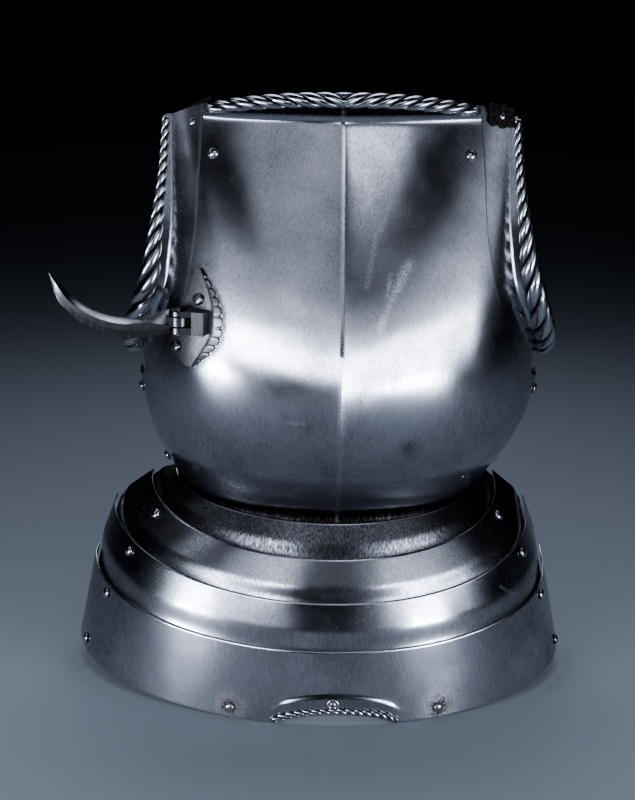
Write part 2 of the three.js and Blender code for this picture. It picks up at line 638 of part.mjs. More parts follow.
const solids = {
  breastplate: breastplate(),
  gusset_right: gusset(-1),
  gusset_left: gusset(1),
  lance_rest_base: lanceRestBase(),
  lance_rest_arm: lanceRestArm(),
  lance_rest_pin: post(hinge.pin, hingeHeights.bottom - 1, hingeHeights.top + 1),
};
for (const lame of lames) solids[lame.name] = lameSolid(lame);
for (const stub of strapStubs) solids[stub.name] = strapStub(stub);
for (const rivet of rivets) {
  for (const side of rivet.sides) {
    const suffix = rivet.sides.length === 1 ? '' : side < 0 ? '_right' : '_left';
    solids[rivet.name + suffix] = setRivet(solids, rivet, side);
  }
}

function materialFor(name) {
  if (name.startsWith('strap_stub')) return leather;
  if (name.startsWith('lance_rest')) return forgedSteel;
  return /rivet|pivot/.test(name) ? rivetSteel : steel;
}

const model = new THREE.Group();
for (const [name, solid] of Object.entries(solids)) {
  const mesh = new THREE.Mesh(geometryOf(solid), materialFor(name));
  mesh.name = name;
  model.add(mesh);
}

export default model;
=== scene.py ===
import bmesh
import bpy
import math
import numpy as np
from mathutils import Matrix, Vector, noise


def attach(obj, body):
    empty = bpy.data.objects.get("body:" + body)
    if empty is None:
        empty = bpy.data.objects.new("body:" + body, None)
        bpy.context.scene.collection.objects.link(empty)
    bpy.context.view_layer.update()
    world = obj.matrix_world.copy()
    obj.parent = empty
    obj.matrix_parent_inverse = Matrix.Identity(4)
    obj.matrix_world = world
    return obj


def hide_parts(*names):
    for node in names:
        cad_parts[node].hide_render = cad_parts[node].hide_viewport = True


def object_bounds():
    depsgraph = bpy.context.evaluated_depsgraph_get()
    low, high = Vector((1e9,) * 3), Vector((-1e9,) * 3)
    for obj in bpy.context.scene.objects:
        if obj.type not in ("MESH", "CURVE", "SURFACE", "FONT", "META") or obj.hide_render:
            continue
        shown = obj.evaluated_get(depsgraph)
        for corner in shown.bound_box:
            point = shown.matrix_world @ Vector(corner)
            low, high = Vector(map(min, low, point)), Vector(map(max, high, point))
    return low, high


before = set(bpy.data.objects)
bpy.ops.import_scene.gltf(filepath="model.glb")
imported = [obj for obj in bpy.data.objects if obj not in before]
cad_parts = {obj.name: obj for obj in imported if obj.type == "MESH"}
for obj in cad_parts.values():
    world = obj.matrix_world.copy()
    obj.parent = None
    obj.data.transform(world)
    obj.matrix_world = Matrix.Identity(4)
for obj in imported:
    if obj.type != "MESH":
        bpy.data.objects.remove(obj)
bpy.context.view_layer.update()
mm = 0.001
print("frame loaded")

# The plates' forms. Lengths are millimetres and are turned to metres when a mesh is made.
breast = {
    "height": [30, 0, -60, -120, -180, -230, -280, -320, -350, -375],
    "depth": [84, 95, 118, 140, 158, 166, 163, 150, 131, 112],
    "peak": [0, 0, 2, 4, 7, 9, 8, 5, 2, 0],
    "halfWidth": [194, 196, 197, 198, 198, 197, 190, 176, 158, 148],
    "lean": [2, 2, 2, 2, 3, 3, 3, -1, -4, -6],
    "squareness": 2.3, "keelRise": 5, "keelSpread": 34, "peakReach": 100,
    "ridgeRise": 0.35, "ridgeSpread": 4,  # the fine line along the keel
    "waistHeight": -365, "waistHollow": 4, "waistSideLift": 8, "waistGap": 1.6,
    "thickness": 2.0, "columns": 190, "rows": (14, 160, 26, 10),  # neck, breast, waist, tucked end
    "flangeLean": math.radians(30), "neckReach": 130, "flangeCentre": 24, "flangeEnd": 5,
}
armOpening = {
    "run": [0, 1, 2, 3, 4, 5, 6],
    "edgeHeight": [13, -50, -105, -160, -205, -240, -264],
    "edgeReach": [0.64, 0.66, 0.675, 0.73, 0.82, 0.91, 1],
    "creaseHeight": [0, -50, -100, -150, -186, -214, -236],
    "creaseReach": [0.805, 0.8, 0.8, 0.83, 0.9, 0.965, 1],
    "flange": [2, 5, 9, 8, 6, 4, 3],
    "rope": [3.2, 3.8, 5.6, 8.4, 9, 9, 7.5],
    "sink": [0, 0, 0.2, 0.6, 1.4, 2.2, 2.6],
    "thickness": 1.6, "gap": 1.0, "tuck": 0.5, "turn": math.radians(45),
    "ropePitchPerRadius": 8.6, "ropeInset": 0.04, "steps": 560, "rows": 170, "across": (34, 16),
    # painted shadow on the plate where it comes out from under the breastplate's edge
    "darkening": 0.9, "edgeShadowFrom": 0.02, "edgeShadowWidth": 0.045,  # along the breastplate's edge
}
skirt = {
    "line": [0, 1, 2, 3, 4],
    "frontHeight": [-380, -411, -450, -495, -566],
    "sideHeight": [-368, -376, -404, -458, -545],
    "depth": [121, 135, 150, 161, 172],
    "halfWidth": [149, 172, 207, 227, 244],
    "lean": [-8, -10, -13, -13, -13],
    "squareness": 2.02, "thickness": 1.4, "slideGap": 0.7, "cornerGap": 2.8,
    "endAngle": math.radians(95), "lapWidensFrom": math.radians(55), "columns": 230,
    "notchHalfWidth": 60, "notchRise": 0.2,
    "notchRopeRadius": 3.4, "notchRopePitch": 24, "notchRopeReach": 0.99,
    "notchRopeSides": 24, "notchRopeSteps": 220, "rows": 40,
    "foldRise": 1.0, "foldAbove": 0.16, "foldWidth": 0.045, "foldReach": 1.12, "foldFade": 22,
}


# Reads one column of a form at places between its rows, along a smooth curve through them.
def along(form, key, column, place):
    keys, values = np.array(form[key], float), np.array(form[column], float)
    if keys[0] > keys[-1]:
        keys, values = keys[::-1], values[::-1]
    place = np.clip(place, keys[0], keys[-1])
    i = np.clip(np.searchsorted(keys, place, side="right") - 1, 0, len(keys) - 2)
    before, after = np.maximum(i - 1, 0), np.minimum(i + 2, len(keys) - 1)
    span = keys[i + 1] - keys[i]
    t = (place - keys[i]) / span
    startSlope = (values[i + 1] - values[before]) / (keys[i + 1] - keys[before])
    endSlope = (values[after] - values[i]) / (keys[after] - keys[i])
    start = values[i] * (1 + 2 * t) * (1 - t) ** 2 + startSlope * span * t * (1 - t) ** 2
    return start + values[i + 1] * t * t * (3 - 2 * t) + endSlope * span * t * t * (t - 1)


# A power that keeps the sign, for rounded-square plans.
def power(base, exponent):
    return np.sign(base) * np.abs(base) ** exponent


def smoothStep(value, low, high):
    t = np.clip((value - low) / (high - low), 0, 1)
    return t * t * (3 - 2 * t)


def angleAtReach(reach):
    return np.arcsin(np.minimum(reach, 1) ** (breast["squareness"] / 2))


def vectors(x, y, z):
    return np.stack(np.broadcast_arrays(x, y, z), axis=-1).astype(float)


def unit(v):
    return v / np.maximum(np.linalg.norm(v, axis=-1, keepdims=True), 1e-9)


def breastSkin(angle, height):
    columns = ("depth", "peak", "halfWidth", "lean")
    depth, peak, halfWidth, lean = (along(breast, "height", c, height) for c in columns)
    x = halfWidth * power(np.sin(angle), 2 / breast["squareness"])
    y = -depth * power(np.cos(angle), 2 / breast["squareness"])
    keel = breast["keelRise"] * np.exp(-np.abs(x) / breast["keelSpread"])
    keel = keel + peak * np.maximum(1 - np.abs(x) / breast["peakReach"], 0) ** 2
    keel = keel + breast["ridgeRise"] * np.exp(-np.abs(x) / breast["ridgeSpread"])
    return vectors(x + lean * (1 - np.abs(y / depth)), y - keel, height)


# Each lame is rolled as a plain cone, so the skirt runs straight from line to line.
def skirtSkin(angle, line):
    column = {c: np.interp(line, skirt["line"], skirt[c]) for c in skirt if isinstance(skirt[c], list)}
    depth, halfWidth, lean = column["depth"], column["halfWidth"], column["lean"]
    front, side = column["frontHeight"], column["sideHeight"]
    x = halfWidth * power(np.sin(angle), 2 / skirt["squareness"])
    y = -depth * power(np.cos(angle), 2 / skirt["squareness"])
    height = side + (front - side) * (-y / depth)
    return vectors(x + lean * (1 - np.abs(y / depth)), y, height)


# A point at a distance outside a skin, along the skin's normal there.
def offsetPoint(skin, u, v, offset):
    step = 0.01
    point = skin(u, v)
    normal = unit(np.cross(skin(u + step, v) - skin(u - step, v), skin(u, v + step) - skin(u, v - step)))
    inward = normal[..., 0] * point[..., 0] + normal[..., 1] * point[..., 1] < 0
    normal = np.where(inward[..., None], -normal, normal)
    return point + normal * np.asarray(offset)[..., None]


def skinNormal(skin, u, v):
    return offsetPoint(skin, u, v, 1.0) - skin(u, v)


# Rows run down the plate: -1 to 0 is the turned neck, 0 to 1 the breast, 1 to 2 the waist.
def plateSkin(across, row):
    across, row = np.broadcast_arrays(np.asarray(across, float), np.asarray(row, float))
    down = np.clip(row, 0, 1)
    edge = along(armOpening, "edgeHeight", "edgeReach", breast["waistHeight"] * down)
    angle = across * angleAtReach(edge)
    lift = breast["waistSideLift"] * down * (1 - power(np.cos(angle), 2 / breast["squareness"]))
    point = breastSkin(angle, breast["waistHeight"] * down + lift)
    inward = np.maximum(1 - (point[..., 0] / breast["neckReach"]) ** 2, 0) ** 0.8
    rise = breast["flangeEnd"] + (breast["flangeCentre"] - breast["flangeEnd"]) * inward
    rise = rise * np.clip(-row, 0, 1)
    lean = breast["flangeLean"]
    point = point + rise[..., None] * np.array([0, -math.sin(lean), math.cos(lean)])
    under = -(skirt["thickness"] + breast["waistGap"])
    tucked = offsetPoint(skirtSkin, across * math.pi / 2, np.maximum(row - 1.5, 0), under)
    t = np.clip((row - 1) * 2, 0, 1)[..., None]
    point = point * (1 - t) + tucked * t
    flat = unit(point * np.array([-1, -1, 0]))
    return point + flat * breast["waistHollow"] * 4 * t * (1 - t)


# side is -1 on the wearer's right, 1 on the left. across runs from the edge hidden under the
# breastplate (0) to the crease (1) and on over the turned edge (2).
def gussetSkin(side):
    def skin(across, run):
        across, run = np.broadcast_arrays(np.asarray(across, float), np.asarray(run, float))
        names = [name for name in armOpening if isinstance(armOpening[name], list)]
        column = {name: along(armOpening, "run", name, run) for name in names}
        under = -(breast["thickness"] + armOpening["gap"] + column["sink"])
        edge, crease = angleAtReach(column["edgeReach"]), angleAtReach(column["creaseReach"])
        t = np.minimum(across, 1) * (1 + armOpening["tuck"]) - armOpening["tuck"]
        angle = edge + (crease - edge) * t
        drop = column["edgeHeight"] - column["creaseHeight"]
        height = column["edgeHeight"] - np.where(t < 0, 2 * np.abs(drop * t), drop * t)
        point = offsetPoint(breastSkin, side * angle, height, under)
        outward = unit(point - offsetPoint(breastSkin, side * (angle - 0.05), height, under))
        normal = skinNormal(breastSkin, side * angle, height)
        turned = unit(outward * math.cos(armOpening["turn"]) + normal * math.sin(armOpening["turn"]))
        reach = (column["flange"] + column["rope"]) * np.maximum(across - 1, 0)
        return point + turned * reach[..., None]
    return skin


def lamePoint(lame, angle, line, depth):
    drop = 0.0
    if lame["tuck"] > 0:
        back = smoothStep(np.abs(angle), skirt["lapWidensFrom"], skirt["endAngle"])
        sunk = smoothStep(line, lame["from"] + lame["covers"], lame["to"])
        drop = (skirt["thickness"] + skirt["slideGap"] + skirt["cornerGap"] * back) * sunk
    return offsetPoint(skirtSkin, angle, line, -drop - depth)


def notchLift(x):
    middle = np.maximum(1 - (x / skirt["notchHalfWidth"]) ** 2, 0)
    return skirt["notchRise"] * middle ** 0.6


# Softens the bend at one row of a grid of points.
def easeRow(points, row, times):
    for _ in range(times):
        low, high = max(row - 5, 1), min(row + 6, len(points) - 1)
        inner = points[low:high]
        points[low:high] = (points[low - 1:high - 1] + 2 * inner + points[low + 1:high + 1]) / 4


def part(points, faces, **marks):
    return {"points": points, "faces": faces, "marks": marks}


# Faces along a run of closed rings of points, with both ends shut.
def ringFaces(count, sides, shut=True):
    at = np.arange(count * sides).reshape(count, sides)
    turned = np.roll(at, -1, axis=1)
    faces = np.stack([at[:-1], turned[:-1], turned[1:], at[1:]], axis=-1).reshape(-1, 4).tolist()
    return faces + ([at[0][::-1].tolist(), at[-1].tolist()] if shut else [])


# A closed plate between an outer and an inner grid, with rounded ends to each row of points.
def plateShell(outer, inner, roundness=0.5):
    def roundEnd(tip, back, other):
        onward, half = unit(tip - back), (tip - other) / 2
        reach = np.linalg.norm(half, axis=-1, keepdims=True) * roundness
        middle = (tip + other) / 2
        return [middle + half * math.cos(a) + onward * reach * math.sin(a)
                for a in (math.pi / 4, math.pi / 2, 3 * math.pi / 4)]
    rings = [outer[:, j] for j in range(outer.shape[1])]
    rings += roundEnd(outer[:, -1], outer[:, -2], inner[:, -1])
    rings += [inner[:, j] for j in range(inner.shape[1] - 1, -1, -1)]
    rings += roundEnd(inner[:, 0], inner[:, 1], outer[:, 0])
    grid = np.stack(rings, axis=1)
    rows, size = grid.shape[:2]
    faces = ringFaces(rows, size, shut=False)
    columns = outer.shape[1]
    for row, flip in ((0, True), (rows - 1, False)):
        ring = list(range(row * size, (row + 1) * size))
        back = ring[columns + 3:2 * columns + 3][::-1]
        cap = [[ring[j], ring[j + 1], back[j + 1], back[j]] for j in range(columns - 1)]
        cap.append([ring[columns - 1]] + ring[columns:columns + 3] + [back[-1]])
        cap.append([back[0]] + ring[2 * columns + 3:] + [ring[0]])
        faces += [face[::-1] if flip else face for face in cap]
    edge = np.zeros((rows, size))
    edge[:, columns - 1:columns + 4] = 1
    edge[:, -4:] = 1
    edge[:, 0] = 1
    inside = np.zeros((rows, size))
    inside[:, columns + 3:2 * columns + 3] = 1
    return part(grid.reshape(-1, 3), faces, worn=edge.ravel(), inside=inside.ravel())


# A mark on a plate shell's front grid alone, not on its back or its two rounded ends.
def onFront(value):
    rows, columns = value.shape
    marked = np.zeros((rows, 2 * columns + 6))
    marked[:, :columns] = value
    return marked.ravel()


rope = {"relief": 0.25, "sides": 30, "strands": 3, "crestSharpness": 0.55, "endRound": 0.8,
        "shadeBand": (-0.42, 0.35), "wornBand": (0.3, 0.9)}


# A roped bead: strands with a crest and a cut between them turn round a path.
def ropeBead(path, radii, pitches, mirrored, hand, sides=rope["sides"]):
    run = np.linalg.norm(np.diff(path, axis=0), axis=1)
    turns = np.concatenate([[0], np.cumsum(run / pitches[:-1] * 2 * math.pi)])
    twist = hand * (np.abs(turns - turns[len(turns) // 2]) if mirrored else turns)
    tangent = unit(np.gradient(path, axis=0))
    side = unit(np.cross(np.array([0, -1, 0]), tangent))
    up = np.cross(tangent, side)
    around = np.arange(sides) / sides * 2 * math.pi
    crest = np.abs(np.cos(rope["strands"] / 2 * around)) ** rope["crestSharpness"] * 2 - 1
    distance = np.concatenate([[0], np.cumsum(run)])
    fromEnd = np.minimum(distance, distance[-1] - distance) / (radii * rope["endRound"])
    taper = np.sqrt(np.clip(1 - (1 - np.minimum(fromEnd, 1)) ** 2, 0.01, 1))
    radius = (radii * taper)[:, None] * (1 + rope["relief"] * crest)[None, :]
    turn = around[None, :] + twist[:, None]
    points = path[:, None] + side[:, None] * (radius * np.cos(turn))[..., None]
    points += up[:, None] * (radius * np.sin(turn))[..., None]
    # painted shade darkens the cuts between the strands
    groove = np.tile(smoothStep(-crest, *rope["shadeBand"]), len(path))
    worn = np.tile(smoothStep(crest, *rope["wornBand"]), len(path))
    return part(points.reshape(-1, 3), ringFaces(len(path), sides), groove=groove, worn=worn)


def newMesh(name, points, faces):
    mesh = bpy.data.meshes.new(name)
    mesh.from_pydata(points, [], faces)
    return mesh


def newObject(name, data):
    made = bpy.data.objects.new(name, data)
    bpy.context.scene.collection.objects.link(made)
    return made


# Puts parts into one mesh object that rides on a body and stands for a node of the frame.
def makePiece(name, parts, material, body, node, sharp=38):
    points = np.concatenate([p["points"] for p in parts]) * mm
    faces, start = [], 0
    for p in parts:
        faces += [[i + start for i in face] for face in p["faces"]]
        start += len(p["points"])
    mesh = newMesh(name, points.tolist(), faces)
    mesh.validate()
    for mark in attributes:
        values = [p["marks"].get(mark, np.zeros(len(p["points"]))) for p in parts]
        mesh.attributes.new(mark, "FLOAT", "POINT").data.foreach_set("value", np.concatenate(values))
    mesh.shade_smooth()
    mesh.set_sharp_from_angle(angle=math.radians(sharp))
    mesh.materials.append(material)
    piece = newObject(name, mesh)
    fixNormals(piece)
    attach(piece, body)
    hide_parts(node)
    return piece


# Turns every closed shell's faces outward.
def fixNormals(piece):
    work = bmesh.new()
    work.from_mesh(piece.data)
    bmesh.ops.recalc_face_normals(work, faces=work.faces)
    work.to_mesh(piece.data)
    work.free()


# Paints a mark round places on the front, each as x, z, radius and strength.
def spots(points, places):
    value = np.zeros(len(points))
    for x, z, radius, strength in places:
        near = np.exp(-((points[:, 0] - x) ** 2 + (points[:, 2] - z) ** 2) / (2 * radius ** 2))
        value = np.maximum(value, strength * near)
    return value


# Paints a mark along short strokes, each as two ends in x and z, a width and a strength.
def strokes(points, lines):
    value = np.zeros(len(points))
    flat = points[:, [0, 2]]
    for x1, z1, x2, z2, width, strength in lines:
        start, run = np.array([x1, z1], float), np.array([x2 - x1, z2 - z1], float)
        t = np.clip((flat - start) @ run / (run @ run), 0, 1)
        gap = np.linalg.norm(flat - start - t[:, None] * run, axis=1)
        value = np.maximum(value, strength * np.exp(-(gap / width) ** 2))
    return value


def toLinear(hexColour):
    channels = [int(hexColour[i:i + 2], 16) / 255 for i in (1, 3, 5)]
    return [c / 12.92 if c <= 0.04045 else ((c + 0.055) / 1.055) ** 2.4 for c in channels] + [1]


# Adds one node with its settings, and links or values for its inputs. With out it gives back that
# output, to be linked on.
def addNode(tree, kind, inputs=None, out=None, **settings):
    node = tree.nodes.new(kind)
    for key, value in settings.items():
        setattr(node, key, value)
    for key, value in (inputs or {}).items():
        if isinstance(value, bpy.types.NodeSocket):
            tree.links.new(value, node.inputs[key])
        else:
            node.inputs[key].default_value = value
    return node.outputs[out] if out is not None else node


def blankMaterial(name):
    material = bpy.data.materials.new(name)
    material.use_nodes = True
    material.node_tree.nodes.clear()
    return material, material.node_tree


steelLook = {
    "bright": "#cfcfd3", "dull": "#8d8e95", "patinaAndShade": "#141416", "pitAndShade": "#0d0c0b", "rust": "#3d2618",
    "inside": "#aaa7a0", "roughness": 0.18, "cloudMm": 70, "grainMm": 1.3, "grainStretch": 0.09,
    "fineMm": 1.5, "pitMm": 6.5, "scratchWideMm": 1.5, "scratchLongMm": 34, "swellMm": 42,
    "pits": 0.8, "brushed": 1.0, "swell": 0.35,
}
attributes = ("worn", "groove", "inside", "rust", "bright", "dark")
colourFactor, colourFirst, colourSecond, colourResult = 0, 6, 7, 2  # sockets of a colour Mix
perMetre = 1000.0  # a pattern's scale is this over its size in millimetres


# Low-carbon steel plate, hammered to shape and polished by hand along the plate, then worn. The
# eye sees hard bright bands, fine streaks down the plate, black pits and thin crossing scratches.
def polishedSteel(name, look):
    material, tree = blankMaterial(name)
    pits, brushed, polish = look["pits"], look["brushed"], look["roughness"]
    grain, wide, long = (perMetre / look[key] for key in ("grainMm", "scratchWideMm", "scratchLongMm"))
    place = addNode(tree, "ShaderNodeTexCoord", out="Object")
    value = {a: addNode(tree, "ShaderNodeAttribute", attribute_name=a, out="Fac") for a in attributes}

    # patterns: the streaks are drawn out down the plate, the scratches along two slants
    for key, turn, scale, detail, roughness in (
            ("clouds", 0, [perMetre / look["cloudMm"]] * 3, 6.0, 0.6),
            ("fine", 0, [perMetre / look["fineMm"]] * 3, 3.0, 0.5),
            ("swell", 0, [perMetre / look["swellMm"]] * 3, 1.0, 0.5),
            ("streaks", 0.12, [grain, grain, grain * look["grainStretch"]], 3.0, 0.5),
            ("scratchesDown", 0.7, [wide, long, long], 2.0, 0.5),
            ("scratchesUp", -0.9, [wide, long, long], 2.0, 0.5)):
        drawn = addNode(tree, "ShaderNodeMapping", {
            "Vector": place, "Rotation": (0, turn, 0), "Scale": scale}, "Vector")
        value[key] = addNode(tree, "ShaderNodeTexNoise", {
            "Vector": drawn, "Scale": 1.0, "Detail": detail, "Roughness": roughness}, "Fac")
    cells = addNode(tree, "ShaderNodeTexVoronoi", {"Vector": place, "Scale": perMetre / look["pitMm"]})
    value["cell"], value["cellEdge"] = cells.outputs["Color"], cells.outputs["Distance"]

    # each is cut to a part of its range: from and to, and what those become. The pits are round
    # cells of unlike sizes, with a pepper of specks where the plate has clouded.
    ends = ("From Min", "From Max", "To Min", "To Max")
    for key, source, *limits in (
            ("clouded", "clouds", 0.4, 0.62, 0.15 * pits, pits),
            ("dulled", "clouds", 0.35, 0.68, 0.1, 0.7),
            ("rough", "clouds", 0.3, 0.7, polish - 0.03, polish + 0.1),
            ("streaked", "streaks", 0.3, 0.7, -0.22 * brushed, 0.22 * brushed),
            ("scuffEdge", "fine", 0.42, 0.58, 0.15, 1.0),
            ("rustEdge", "fine", 0.38, 0.6, 0.0, 1.0),
            ("pepper", "fine", 0.62, 0.7, 0.0, "clouded"),
            ("scratchesDown", "scratchesDown", 0.64, 0.76, 0.0, 1.0),
            ("scratchesUp", "scratchesUp", 0.64, 0.76, 0.0, 1.0),
            ("cell", "cell", 0.45, 1.0, 0.0, 0.2),
            ("holes", "cellEdge", "cell", 0.0, 0.0, 2.0)):
        limits = [value.get(limit, limit) for limit in limits]
        value[key] = addNode(tree, "ShaderNodeMapRange", {
            "Value": value[source], **dict(zip(ends, limits))}, "Result")

    # where patterns and marks meet, from 0 to 1
    for key, operation, first, second in (
            ("holes", "MULTIPLY", "holes", "clouded"), ("pitted", "MAXIMUM", "holes", "pepper"),
            ("scratches", "MAXIMUM", "scratchesDown", "scratchesUp"),
            ("dulled", "ADD", "dulled", "streaked"), ("scuffedAndHighlit", "MULTIPLY", "bright", "scuffEdge"),
            ("rubbedAndHighlit", "MAXIMUM", "worn", "scuffedAndHighlit"), ("rusted", "MULTIPLY", "rust", "rustEdge"),
            ("patinaAndShade", "ADD", "dark", "streaked"), ("patinaAndShade", "MULTIPLY", "patinaAndShade", "dark"),
            ("eaten", "MAXIMUM", "rusted", "pitted")):
        value[key] = addNode(tree, "ShaderNodeMath", {0: value[first], 1: value[second]}, "Value",
                             operation=operation, use_clamp=True)

    # colour: bright steel dulled by clouds and streaks, then each kind of wear over it. The dark mark also
    # carries painted shade, the groove mark painted shade in cuts and under edges, and the bright mark a few
    # painted highlights.
    colour = toLinear(look["bright"])
    for key, hexName in (("dulled", "dull"), ("patinaAndShade", "patinaAndShade"), ("rubbedAndHighlit", "bright"), ("groove", "pitAndShade"),
                         ("inside", "inside"), ("rusted", "rust"), ("pitted", "pitAndShade")):
        colour = addNode(tree, "ShaderNodeMix", {
            colourFactor: value[key], colourFirst: colour, colourSecond: toLinear(look[hexName])},
            colourResult, data_type="RGBA")

    # worn, scratched, pitted and rusted places scatter the light more; rust and pits aren't metal
    rough, height = value["rough"], 0.0
    for key, more in (("streaked", 0.08), ("patinaAndShade", 0.16), ("rusted", 0.35), ("inside", 0.3),
                      ("groove", 0.25), ("pitted", 0.15), ("scuffedAndHighlit", 0.2)):
        rough = addNode(tree, "ShaderNodeMath", {0: value[key], 1: more, 2: rough}, "Value",
                        operation="MULTIPLY_ADD")
    metal = addNode(tree, "ShaderNodeMapRange", {
        "Value": value["eaten"], "To Min": 1.0, "To Max": 0.0}, "Result")

    # relief in millimetres, over the hammer's low swells
    for key, rise in (("streaks", 0.004 * brushed), ("scratches", -0.015), ("pitted", -0.012),
                      ("fine", 0.002), ("rusted", 0.06)):
        height = addNode(tree, "ShaderNodeMath", {0: value[key], 1: rise, 2: height}, "Value",
                         operation="MULTIPLY_ADD")
    normal = addNode(tree, "ShaderNodeBump", {"Height": height, "Distance": mm, "Strength": 0.6}, "Normal")
    normal = addNode(tree, "ShaderNodeBump", {
        "Height": value["swell"], "Distance": mm, "Strength": look["swell"], "Normal": normal}, "Normal")
    shader = addNode(tree, "ShaderNodeBsdfPrincipled", {
        "Base Color": colour, "Metallic": metal, "Roughness": rough, "Normal": normal}, "BSDF")
    addNode(tree, "ShaderNodeOutputMaterial", {"Surface": shader})
    return material


plateSteel = polishedSteel("hand_polished_steel_plate", steelLook)
skirtSteel = polishedSteel("hand_polished_steel_skirt", dict(steelLook, pits=0.7))
# rivets peened and rubbed by hand: the brightest steel, smooth, with hardly a streak
rivetSteel = polishedSteel("domed_steel_rivet", dict(
    steelLook, bright="#dcdad8", pitMm=4, pits=0.3, brushed=0.2, swell=0.0))
# forged and filed, never polished: greyer and softer lights, clouded closely
forgedSteel = polishedSteel("filed_forged_steel", dict(
    steelLook, bright="#a09fa0", dull="#5f5d61", roughness=0.26, cloudMm=24))

leatherLook = {
    "light": "#2e211b", "dark": "#0f0a08", "edge": "#4a3326", "grainMm": 2.2, "crackMm": 7, "cloudMm": 11.11,
}


# Vegetable-tanned cowhide, waxed once and long dried out: nearly black brown, dull, with a
# pebbled grain, cracks, and paler torn edges.
def driedLeather(look):
    material, tree = blankMaterial("dried_cowhide")
    place = addNode(tree, "ShaderNodeTexCoord", out="Object")
    grain = addNode(tree, "ShaderNodeTexVoronoi", {
        "Vector": place, "Scale": perMetre / look["grainMm"]}, "Distance")
    cracks = addNode(tree, "ShaderNodeTexVoronoi", {
        "Vector": place, "Scale": perMetre / look["crackMm"]}, "Distance", feature="DISTANCE_TO_EDGE")
    clouds = addNode(tree, "ShaderNodeTexNoise", {
        "Vector": place, "Scale": perMetre / look["cloudMm"], "Detail": 6.0}, "Fac")
    crack = addNode(tree, "ShaderNodeMapRange", {
        "Value": cracks, "From Max": 0.08, "To Min": 1.0, "To Max": 0.0}, "Result")
    worn = addNode(tree, "ShaderNodeAttribute", attribute_name="worn", out="Fac")
    colour = toLinear(look["dark"])
    for factor, hexName in ((clouds, "light"), (worn, "edge"), (crack, "dark")):
        colour = addNode(tree, "ShaderNodeMix", {
            colourFactor: factor, colourFirst: colour, colourSecond: toLinear(look[hexName])},
            colourResult, data_type="RGBA")
    height = addNode(tree, "ShaderNodeMath", {0: grain, 1: crack}, "Value", operation="SUBTRACT")
    bump = addNode(tree, "ShaderNodeBump", {"Height": height, "Distance": 0.0006, "Strength": 0.8}, "Normal")
    shader = addNode(tree, "ShaderNodeBsdfPrincipled", {
        "Base Color": colour, "Roughness": 0.6, "Normal": bump}, "BSDF")
    addNode(tree, "ShaderNodeOutputMaterial", {"Surface": shader})
    return material


leather = driedLeather(leatherLook)
print("materials made")

# The lance rest's leaf plate lies on the breast, with a painted shadow round it.
restPlate = {
    "row": [0, 1, 2, 3, 4, 5],
    "height": [-132, -149, -166, -188, -205, -221],
    "chord": [131, 136, 142, 150, 156, 141],
    "edge": [126, 116, 109.5, 109, 118, 134],
    "thickness": 3, "notches": 11, "notchDepth": 1.8, "bevel": 0.2, "bevelThins": 0.62,
    "bevelShade": 0.75, "bevelShadeWidth": 0.035, "blockDark": 0.55,
    "rows": 160, "columns": 60, "cornerMm": 0.7,
}


def restPlateSkin(across, row):
    across, row = np.broadcast_arrays(np.asarray(across, float), np.asarray(row, float))
    height = along(restPlate, "row", "height", row)
    halfWidth = along(breast, "height", "halfWidth", height)
    edge, chord = along(restPlate, "row", "edge", row), along(restPlate, "row", "chord", row)
    reach = (edge + (chord - edge) * across) / halfWidth
    return breastSkin(-angleAtReach(reach), height)


# Breastplate: the plate with its turned neck and the hollow of the waist, and the neck's rope.
# A spot is x, z, radius and strength, a stroke two ends in x and z, width and strength, and a band
# two heights.
breastMarks = {
    # the last bright stroke is a painted highlight of a dent low on the bulge; the others are scratches
    "bright": [(60, -122, 50, -142, 4.5, 0.8), (50, -140, 34, -176, 3, 0.75), (44, -130, 40, -150, 2, 0.6),
               (44, -66, 34, -92, 2, 0.6), (30, -96, 22, -140, 2.5, 0.35), (-48, -263, -33, -263, 1.4, 0.6)],
    # dark: a pit, two spots of painted shade round the dent's painted highlight, and two broad spots
    # darkening the bulge low at each side
    "dark": [(64, -290, 9, 0.7), (-30, -268, 6, 0.6), (-50, -258, 5, 0.5), (150, -290, 34, 0.4),
             (-140, -300, 34, 0.4)],
    # waistDark paints shade into the waist hollow; flangeDark paints shade on the neck flange under the rope
    "waistRust": 0.7, "rustBand": (366, 386), "waistDark": 1.0, "waistBand": (352, 372),
    "flangeDark": 1.0, "flangeBand": (2.5, 7), "keelHighlight": 0.6, "keelWidth": 1.4,
    "leafShadow": 0.8, "leafShadowWidth": 3, "leafShadowShift": 2,
}

neckRope = {"centreRadius": 5.8, "endRadius": 3.6, "pitch": 50, "reach": 0.965, "steps": 640}


